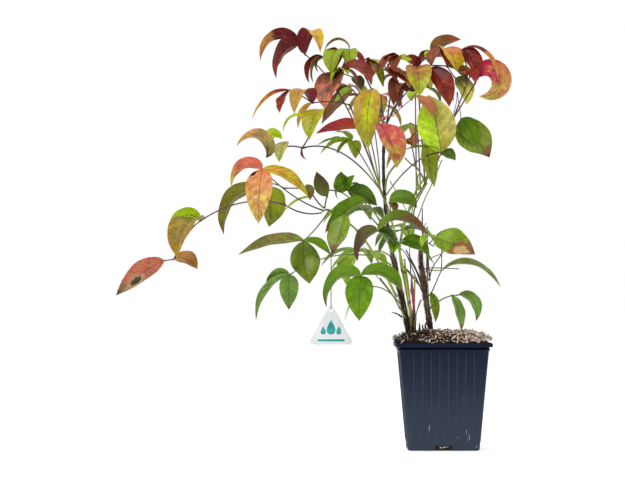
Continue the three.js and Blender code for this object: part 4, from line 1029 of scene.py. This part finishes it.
def add_leaf(shape, base, row, slot, number):
    """A leaflet: two skins a hair apart, folded along the midrib, each half a little bellied and waved."""
    reach, arch, width, roll = Vector((row[0], -row[1], row[2])), *row[3:]
    spine, side = midrib(reach, arch)
    draw = random.Random(number)
    beat = draw.uniform(*LEAF.beat)
    phases = [draw.random(), draw.random()]
    run = measured(spine)
    upper, lower, along, across, blade = [], [], [], [], []
    for k, (rib, length) in enumerate(zip(spine, run)):
        ahead = (spine[min(k + 1, LEAF.steps)] - spine[max(k - 1, 0)]).normalized()
        t = k / LEAF.steps
        out = Matrix.Rotation(math.radians(roll), 3, ahead) @ side
        up = ahead.cross(out)
        half = max(width / 2 * outline(t), LEAF.thinnest[k == LEAF.steps])
        for s in LEAF.columns:
            wave = LEAF.wave * math.sin(math.tau * (beat * t + phases[s > 0])) * s * s
            fold = LEAF.fold * (math.hypot(s, LEAF.crease) - LEAF.crease)
            height = fold + LEAF.belly * math.sin(math.pi * abs(s)) + wave
            face = base + rib + out * half * s + up * half * height
            upper.append(face + up * LEAF.thickness / 2)
            lower.append(face - up * LEAF.thickness / 2)
            along.append(t)
            across.append(s)
            blade.append(Vector((length, half * s, number * LEAF.apart)))
    count = len(upper)
    quads = grid_faces(LEAF.steps + 1, len(LEAF.columns))
    edge = rim(LEAF.steps + 1, len(LEAF.columns))
    # The upper skin, the lower skin turned over, and a rim between them.
    faces = [tuple(reversed(quad)) for quad in quads] + [tuple(count + i for i in quad) for quad in quads]
    faces += [(a, count + a, count + b, b) for a, b in zip(edge, edge[1:] + edge[:1])]
    under = [0.0] * count + [1.0] * count
    shape.add(upper + lower, faces, slot, along=along * 2, across=across * 2, under=under, blade=blade * 2)


def spring_point(limb, at, joint):
    """Where a frond's stalk starts: beside its limb, on the side that it grows to."""
    centre, ahead, radius = limb.at(at)
    leaving = (Vector(joint[1:4]) - centre + UP * 4 * joint[4]).normalized()
    outward = (leaving - ahead * leaving.dot(ahead)).normalized()
    beside = STALK.base * math.sqrt(max(1 - leaving.dot(outward) ** 2, 0))
    return centre + outward * (radius + STALK.clearance + beside)


def add_stalk(shape, line, first, last, ends=(0.0, 1.0)):
    """A leaf stalk between two radii, swollen and darker where leaflets spring from it."""
    run = measured(line)
    radii, flush, knot = [], [], []
    for at, place in zip(run, line):
        near = math.exp(-(((run[-1] - at) / STALK.knots[1]) ** 2)) * ends[1]
        near = max(near, math.exp(-((at / STALK.knots[0]) ** 2)) * max(ends[0], STALK.least_knot))
        radii.append(lerp(first, last, at / run[-1]) * STALK.shown * (1 + STALK.swell * near))
        outward = max(math.hypot(place.x - FLUSH.middle, place.y) - FLUSH.core, 0)
        flush += [eased(*FLUSH.between, place.z + FLUSH.slope * outward)] * STALK.sides
        knot += [near * STALK.dark] * STALK.sides
    shape.add(*tube(line, radii, STALK.sides), flush=flush, knot=knot)


def height_class(z):
    if z > RED_ABOVE:
        return "red"
    return "turning" if z > GOLD_ABOVE else "green"


def grown_frond(limb, at, heading, reach, rise, seed):
    """A row like those of FRONDS, for the back: a stalk with two joints and leaflets fanned at each."""
    draw = seeded(seed)
    centre, _, _ = LIMB[limb].at(at)
    ahead = math.radians(heading)
    joints = []
    for i, share in enumerate(BACK_LEAF.joints):
        x, y = centre.x + math.cos(ahead) * reach * share, centre.y + math.sin(ahead) * reach * share
        joints.append((i - 1, x, y, centre.z + rise * share**0.7, BACK_LEAF.bow))
    leaves = []
    for joint, fan in enumerate(BACK_LEAF.fans):
        for turn in fan:
            length = BACK_LEAF.shortest + BACK_LEAF.spread * next(draw)
            way = math.radians(heading + turn + BACK_LEAF.stray * (next(draw) - 0.5))
            fall = lerp(*BACK_LEAF.fall, next(draw))
            level = length * math.cos(fall)
            tip = (level * math.cos(way), -level * math.sin(way), -length * math.sin(fall))
            roll = BACK_LEAF.roll * (next(draw) - 0.5)
            tint = BACK_TINTS[height_class(joints[joint][3])][int(length * 7 + roll) % 4]
            leaves.append((joint, *tip, BACK_LEAF.arch * length, BACK_LEAF.width * length, roll, tint))
    return limb, at, joints, leaves


def frond(name, row, number, finishes):
    """One frond's two pieces: its leaflets and its stalks."""
    limb, at, joints, leaves = row
    places = [Vector(joint[1:4]) for joint in joints]
    tints = sorted({leaf[-1] for leaf in leaves})
    blades = Gathered()
    for i, (joint, *shaped, tint) in enumerate(leaves):
        add_leaf(blades, places[joint], shaped, tints.index(tint), number * SEEDS_APART + i)
    piece = blades.made(name + "_leaflets", [finishes[tint] for tint in tints], sharp=60)
    dressed(piece, height_class(joints[0][3]) + "_leaf", name)
    start = spring_point(LIMB[limb], at, joints[0])
    stalks = Gathered()
    for i, (before, *_, bow) in enumerate(joints):
        foot = start if before < 0 else places[before]
        first, last = [lerp(STALK.base, STALK.tip, (k + 1) / len(places)) for k in (before, i)]
        add_stalk(stalks, bowed(foot, places[i], bow), first, last, (before >= 0, 1.0))
    dressed(stalks.made(name + "_stalks", [finishes["stalk"]]), "green_stem", name)


def crown(finishes):
    for number, (name, row) in enumerate(FRONDS.items()):
        frond(name, row, number, finishes)
    for number, (name, rule) in enumerate(BACK_FRONDS.items()):
        frond(name, grown_frond(*rule), BACK_SEED + number, finishes)


# ---- pot, mulch and label ----


def wall_at(z):
    """The pot wall's half width outside, at height z on its tapering body."""
    return POT.foot + (POT.shoulder - POT.foot) * z / BODY_TOP


def square_ring(half, z):
    """A square with round corners at height z."""
    inset = half - POT.corner
    straight = [Vector((lerp(-inset, inset, k / POT.side_steps), -half, z)) for k in range(POT.side_steps)]
    for k in range(POT.corner_steps):
        angle = math.pi / 2 * (k / POT.corner_steps - 1)
        spot = Vector((inset + POT.corner * math.cos(angle), POT.corner * math.sin(angle) - inset, z))
        straight.append(spot)
    return [turn @ point for turn in QUARTERS for point in straight]


def ribs():
    """Slim upright ribs down each side of the pot."""
    shape = Gathered()
    heights = {RIB.low: 0, RIB.low + RIB.end: 1, RIB.high - RIB.end: 1, RIB.high: 0}
    for turn in QUARTERS:
        for k in range(RIB.count):
            middle = (k - (RIB.count - 1) / 2) * RIB.pitch
            points = []
            for z, proud in heights.items():
                for x, out in RIB_SECTION:
                    face = -wall_at(z) + RIB.sunk - (RIB.proud + RIB.sunk) * out * proud
                    points.append(turn @ Vector((middle + x * RIB.width, face, z)))
            shape.add(points, grid_faces(len(heights), len(RIB_SECTION)))
    return shape


def scuffs():
    """Thin marks on the pot's front."""
    shape = Gathered()
    for x, z, length, width, lean in SCUFFS:
        points = []
        for t in (-0.5, -0.2, 0.1, 0.5):
            rise = t * length
            half = Vector((width / 2 * (1 - 1.6 * abs(t) ** 1.5), 0, 0))
            middle = Vector((x + lean * rise, -wall_at(z + rise) - 0.04, z + rise))
            points += [middle - half, middle + half]
        shape.add(points, grid_faces(4, 2))
    return shape


def block(low, high):
    """A plain box between two corners, to cut with."""
    (x0, y0, z0), (x1, y1, z1) = low, high
    corners = [Vector((x, y, z)) for z in (z0, z1) for x, y in ((x0, y0), (x1, y0), (x1, y1), (x0, y1))]
    shape = Gathered()
    shape.add(corners, capped_faces(2, 4))
    return shape.made("block", [])


def cut(piece, cutters):
    """Takes the cutters' shapes out of the piece, and removes them."""
    for cutter in cutters:
        taken = piece.modifiers.new("cut", "BOOLEAN")
        taken.operation = "DIFFERENCE"
        taken.solver = "EXACT"
        taken.object = cutter
    depsgraph = bpy.context.evaluated_depsgraph_get()
    mesh = bpy.data.meshes.new_from_object(piece.evaluated_get(depsgraph), depsgraph=depsgraph)
    piece.modifiers.clear()
    piece.data = mesh
    for cutter in cutters:
        bpy.data.objects.remove(cutter)


def pot(finishes):
    """The nursery pot: ribbed walls, a rolled lip over a recessed band, and a drain notch under each side."""
    foot, shoulder, band, lip, wall, top = POT.foot, POT.shoulder, POT.band, POT.lip, POT.wall, POT.height
    profile = [  # half width, height
        (foot - 1.2, 0), (foot - 0.35, 0.3), (wall_at(1.3), 1.3), (wall_at(30), 30), (wall_at(60), 60),
        (wall_at(BODY_TOP - 0.8), BODY_TOP - 0.8), (shoulder + 0.6, BODY_TOP + 0.1),
        (shoulder + 1, BODY_TOP + 0.6), (shoulder + 0.8, BAND_FOOT - 0.1), (band + 0.2, BAND_FOOT + 0.35),
        (band, BAND_FOOT + 0.9), (band, BAND_TOP - 0.6), (band + 0.6, BAND_TOP - 0.1), (lip - 0.5, BAND_TOP),
        (lip, BAND_TOP + 0.5), (lip, top - 0.6), (lip - 0.45, top), (lip - wall + 0.3, top),
        (lip - wall, top - 0.6), (band - wall, BAND_TOP), (band - wall, BODY_TOP), (wall_at(2) - wall, 2),
    ]
    rings = [square_ring(half, z) for half, z in profile]
    shape = Gathered()
    shape.add([point for ring in rings for point in ring], capped_faces(len(rings), len(rings[0])))
    piece = shape.made("pot_shell", [finishes["pot"]])
    half, cutters = POT.notch_width / 2, []
    for side in range(4):
        notch = block((-half, -foot - 3, -1), (half, -foot - 1 + POT.notch_depth, POT.notch_height))
        notch.rotation_euler.z = side * math.pi / 2
        cutters.append(notch)
    bpy.context.view_layer.update()
    cut(piece, cutters)
    smoothed(piece.data, sharp=35)
    dressed(piece, "pot_plastic", "pot")
    dressed(ribs().made("pot_ribs", [finishes["rib"]]), "pot_plastic")
    dressed(scuffs().made("pot_scuffs", [finishes["scuff"]]), "pot_plastic")


def mound(x, y):
    """The mulch's height: flat near the pot's wall, heaped and lumpy towards the middle."""
    away = lerp(math.hypot(x, y), max(abs(x), abs(y)), SOIL.squareness)
    inner = 1 - min(away / SOIL.half, 1) ** SOIL.steepness
    lump = noise.noise(Vector((x, y, 3)) * SOIL.lump_size) * SOIL.lump
    return SOIL.edge + (SOIL.crown + lump) * inner


def fines():
    """The heap of bark fines: a rough top, and walls that narrow down to the pot's floor."""
    count, half = SOIL.cells, SOIL.half
    top = []
    for i in range(count):
        for k in range(count):
            x, y = lerp(-half, half, k / (count - 1)), lerp(-half, half, i / (count - 1))
            squeeze = min(1, (half * 2 - SOIL.corner_cut) / max(abs(x) + abs(y), 1e-6))
            x, y = x * squeeze, y * squeeze
            rough = noise.noise(Vector((x, y, 9)) * SOIL.rough_size) * SOIL.rough
            top.append(Vector((x, y, mound(x, y) - SOIL.sunk + rough)))
    edge = rim(count, count)
    narrowed = (wall_at(SOIL.floor) - POT.wall - 0.3) / half
    skirt = [Vector((top[i].x * narrowed, top[i].y * narrowed, SOIL.floor)) for i in edge]
    below = list(range(len(top), len(top) + len(edge)))
    sides = zip(edge, edge[1:] + edge[:1], below, below[1:] + below[:1])
    walls = [(a, b, b_low, a_low) for a, b, a_low, b_low in sides]
    shape = Gathered()
    shape.add(top + skirt, grid_faces(count, count) + walls + [tuple(below)])
    return shape


def bark_chip(place, along, out, length, width, depth, draw):
    """A torn sliver of bark: an uneven five to seven sided plate, thinner at its ends."""
    aside = out.cross(along)
    sides = draw.randint(*CHIP.sides)
    top, bottom = [], []
    for k in range(sides):
        angle = math.tau * (k + draw.uniform(*CHIP.askew)) / sides
        ragged = draw.uniform(*CHIP.ragged) / 2
        x, y = math.cos(angle), math.sin(angle)
        bend = x**2 * length * draw.uniform(*CHIP.bend)
        spot = place + along * x * length * ragged + aside * y * width * ragged + out * bend
        thick = out * depth * (0.35 + 0.65 * abs(y)) / 2
        top.append(spot + thick)
        bottom.append(spot - thick)
    return bottom + top, capped_faces(2, sides)


def add_chips(shape, draw):
    """Bark chips strewn over the heap, paler to the right, and paler where they lie high: a painted shade
    darkens the low ones in the gaps.
    """
    reach, look = CHIP.spread, CHIP_SHADE
    for n in range(CHIP.count):
        x, y = draw.uniform(-reach, reach - 3), draw.uniform(-reach, reach)
        if abs(x) + abs(y) > reach * 2 - 5:
            continue
        slope = Vector((mound(x - 1, y) - mound(x + 1, y), mound(x, y - 1) - mound(x, y + 1), 2))
        tilt = CHIP.tilt[n % 3]
        out = (slope.normalized() + Vector([draw.gauss(0, tilt) for _ in range(3)])).normalized()
        along = out.cross(Vector((draw.gauss(0, 1), draw.gauss(0, 1), 0.1))).normalized()
        length = draw.choice(CHIP.lengths) * draw.uniform(*CHIP.stretch)
        width = length * draw.uniform(*CHIP.width)
        lift = draw.uniform(*CHIP.lift)
        shade = look.middle + look.rightward * x + draw.gauss(0, look.uneven)
        # Painted shade: the lower a chip lies, the darker its tint.
        shade += lift * look.high - look.left_dark * eased(*look.left, x)
        if n % look.pale_every == 0:
            shade = max(shade, look.pale)
        outside = eased(SOIL.half - 1, reach, max(abs(x), abs(y)))
        place = Vector((x, y, mound(x, y) + lift - outside * CHIP.droop))
        chip = bark_chip(place, along, out, length, width, draw.uniform(*CHIP.depth), draw)
        shape.add(*chip, tint=shade)


def add_fibres(shape, draw):
    """Fibres that stick out of the heap, most of them at the pot's edge."""
    reach, lip = CHIP.spread, POT.lip
    for _ in range(FIBRE.count):
        side = draw.choice((-1, 1))
        far, aside = side * draw.uniform(*FIBRE.outward) * reach, draw.uniform(-reach, reach)
        x, y = (far, aside) if draw.random() < FIBRE.at_sides else (aside, far)
        way = Vector((x / reach + draw.gauss(0, 0.6), draw.gauss(0, 0.5), draw.uniform(-0.1, 1.3)))
        start = Vector((x, y, mound(x, y) + draw.uniform(-0.5, 0.5)))
        end = start + way.normalized() * draw.uniform(*FIBRE.length)
        end.x = min(max(end.x, -lip - FIBRE.overhang), lip)
        end.y = min(max(end.y, -lip - FIBRE.overhang), lip + FIBRE.overhang)
        end.z = max(end.z, POT.height + 0.3)
        line = bowed(start, end, draw.uniform(*FIBRE.bow), len(FIBRE.radii) - 1)
        thick = draw.uniform(*FIBRE.thick)
        points, faces = tube(line, [radius * thick for radius in FIBRE.radii], 3)
        shape.add(points, faces, tint=draw.choice(FIBRE.tints))


def pebble(centre, size, draw):
    """A small uneven grain: two rings of six points between two poles."""
    points = [centre + UP * size * draw.uniform(0.7, 1)]
    for z in (0.5, -0.5):
        for k in range(6):
            angle = math.tau * (k + z) / 6
            spot = Vector((math.cos(angle) * 0.85, math.sin(angle) * 0.85, z))
            points.append(centre + spot * size * draw.uniform(0.8, 1.15))
    points.append(centre - UP * size * draw.uniform(0.7, 1))
    faces = []
    for k in range(6):
        after = (k + 1) % 6
        faces += [(0, 1 + k, 1 + after), (1 + k, 7 + k, 7 + after, 1 + after), (13, 7 + after, 7 + k)]
    return points, faces


def mulch(finishes):
    """Bark fines heaped in the pot, chips and fibres over them, and crumbs that show in the notches."""
    dressed(fines().made("bark_fines", [finishes["earth"]], sharp=80), "bark_mulch", "soil")
    draw = random.Random(5)
    chips = Gathered()
    add_chips(chips, draw)
    add_fibres(chips, draw)
    dressed(chips.made("bark_chips", [finishes["chip"]], sharp=25), "bark_mulch")
    for name, (count, half, depth, heights, sizes, finish) in CRUMBS.items():
        grains = Gathered()
        for _ in range(count):
            turn = draw.choice(QUARTERS)
            y = POT.wall + depth - wall_at(3)
            place = turn @ Vector((draw.uniform(-half, half), y, draw.uniform(*heights)))
            points, faces = pebble(place, draw.uniform(*sizes), draw)
            tint = {"tint": draw.uniform(0, 0.2)} if finish == "chip" else {}
            grains.add(points, faces, **tint)
        dressed(grains.made(name, [finishes[finish]], sharp=80), "bark_mulch")


def plate(name, finish, outlines, thickness, bevel, front):
    """A flat plate upright in the XZ plane, from outlines of (x, z): the first solid, the rest holes."""
    curve = bpy.data.curves.new(name, "CURVE")
    curve.dimensions = "2D"
    curve.fill_mode = "BOTH"
    curve.extrude = (thickness / 2 - bevel) * MM
    curve.bevel_depth = bevel * MM
    curve.bevel_resolution = 2
    curve.offset = -bevel * MM
    for outlined in outlines:
        spline = curve.splines.new("POLY")
        spline.points.add(len(outlined) - 1)
        for point, (x, z) in zip(spline.points, outlined):
            point.co = (x * MM, z * MM, 0, 1)
        spline.use_cyclic_u = True
    drawn = bpy.data.objects.new(name, curve)
    mesh = bpy.data.meshes.new_from_object(drawn)
    bpy.data.objects.remove(drawn)
    mesh.transform(Matrix.Translation(Vector((0, front, 0)) * MM) @ Matrix.Rotation(math.pi / 2, 4, "X"))
    mesh.materials.append(finish)
    smoothed(mesh, sharp=35)
    return linked(name, mesh)


def rounded(corners, reach, steps):
    """The polygon with each corner rounded off, its rounding reaching that far along each edge."""
    points = []
    for i, corner in enumerate(corners):
        here = Vector(corner)
        ends = [Vector(corners[k % len(corners)]) for k in (i - 1, i + 1)]
        before, after = [here + (end - here).normalized() * reach for end in ends]
        points += [tuple(spot) for spot in curved(before, here, after, steps)]
    return points


def circle(x, y, radius, steps, turns=1):
    """Points round a circle; backwards for -1 turns."""
    angles = [math.tau * turns * k / steps for k in range(steps)]
    return [(x + radius * math.cos(angle), y + radius * math.sin(angle)) for angle in angles]


def drop(middle, low, size, steps=32):
    """A water drop's outline, round below and drawn to a point at its top."""
    points = []
    for k in range(steps):
        angle = math.tau * k / steps
        wide = math.sin(angle) * math.sin(angle / 2) ** 1.5
        points.append((middle + size * 0.42 * wide, low + size * (1 + math.cos(angle)) / 2))
    return points


def label(finishes):
    """The hanging label: a white card with round corners, printed drops and a bar, and its tie."""
    x, y, z = TAG.apex
    hole_height = z - TAG.hole_drop
    corners = [(x, z), (x - TAG.width / 2, z - TAG.height), (x + TAG.width / 2, z - TAG.height)]
    outlines = [rounded(corners, TAG.corner, 8), circle(x, hole_height, TAG.hole, 24, -1)]
    card = plate("label_card", finishes["card"], outlines, TAG.thickness, TAG.bevel, y)
    dressed(card, "label_card", "tag")
    printed = [drop(x + aside, z - TAG.drops_low, size) for aside, size in TAG.drops]
    half, low, high = TAG.bar
    printed.append([(x - half, z - low), (x + half, z - low), (x + half, z - high), (x - half, z - high)])
    front = y - TAG.thickness / 2 - TAG.ink_proud
    for i, outlined in enumerate(printed):
        name = "label_print_%d" % i
        dressed(plate(name, finishes["print"], [outlined], TAG.ink, TAG.ink_bevel, front), "label_card")

    tie = Gathered()
    eye = TAG.hole + TIE.eye
    foot, top = hole_height + 2 * eye, TIE.top - TIE.loop
    lines = [[Vector((x, a, b)) for a, b in circle(y, hole_height + eye, eye, 24)]]
    lines.append([Vector((x, a, b)) for a, b in circle(y, TIE.top, TIE.loop, 24)])
    lines = [ring + ring[:1] for ring in lines]
    lines.append([Vector((x, y, lerp(foot, top, share))) for share in shares(6)])
    for line in lines:
        tie.add(*tube(line, [TIE.radius] * len(line), TIE.sides))
    dressed(tie.made("label_tie", [finishes["tie"]]), "tie_plastic", "tag_tie")


# ---- the studio ----


def aimed(name, data, place, aim):
    """An object at the place, in metres, that looks to the aim."""
    held = linked(name, data)
    held.location = place
    held.rotation_euler = (Vector(aim) - Vector(place)).to_track_quat("-Z", "Y").to_euler()
    return held


def studio():
    """The camera, a pale floor, an even white surround and two soft lamps."""
    scene = bpy.context.scene
    scene.view_settings.view_transform = "Standard"
    lens = bpy.data.cameras.new("camera")
    lens.lens = LENS
    lens.sensor_width = SENSOR
    lens.sensor_fit = "HORIZONTAL"
    lens.clip_end = 100
    scene.camera = aimed("camera", lens, Vector(CAMERA) * MM, Vector(AIM) * MM)
    scene.world = bpy.data.worlds.new("surround")
    scene.world.use_nodes = True
    surround = Shader(scene.world.node_tree)
    background = surround.tree.nodes["Background"].inputs
    background["Color"].default_value = (1, 1, 1, 1)
    depth = surround.part(surround.node("ShaderNodeTexCoord", output="Generated"), 1)
    front, back = SURROUND
    surround.feed(background["Strength"], depth.rising(-0.45, 0.25) * (back - front) + front)
    for name, (place, size, power) in LAMPS.items():
        lamp = bpy.data.lights.new(name, "AREA")
        lamp.shape = "SQUARE"
        lamp.size = size
        lamp.energy = power
        aimed(name, lamp, place, LAMP_AIM)
    floor = Gathered()
    corners = ((-1, -1), (1, -1), (1, 1), (-1, 1))
    floor.add([Vector((x, y, 0)) * FLOOR_HALF for x, y in corners], [(0, 1, 2, 3)])
    floor.made("studio_floor", [grained_finish(**FLOOR)])


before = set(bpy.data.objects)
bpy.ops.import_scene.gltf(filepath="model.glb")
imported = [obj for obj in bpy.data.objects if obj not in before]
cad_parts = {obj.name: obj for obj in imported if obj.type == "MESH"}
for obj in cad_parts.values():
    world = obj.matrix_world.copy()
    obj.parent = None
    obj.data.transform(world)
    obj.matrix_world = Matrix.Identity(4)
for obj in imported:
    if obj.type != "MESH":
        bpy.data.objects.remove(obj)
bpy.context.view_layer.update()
studio()
finishes = {
    "stalk": stalk_finish(),
    "bark": bark_finish("cane_bark", 0.42),
    "pale_bark": bark_finish("young_bark", 1.2),
    "green_cane": green_cane_finish(),
    "shoot": shoot_finish(),
    "pot": pot_finish("pot_plastic"),
    # The ribs' finish is lifted lighter all over: a painted highlight along the ribs.
    "rib": pot_finish("pot_rib", lift=0.75),
    "chip": chip_finish(),
    **{key: grained_finish(**grain) for key, grain in GRAINED.items()},
    **{key: leaf_finish(key, *tints, **LEAF_MARKS.get(key, {})) for key, tints in LEAF_TINTS.items()},
}
pot(finishes)
mulch(finishes)
canes(finishes)
crown(finishes)
label(finishes)
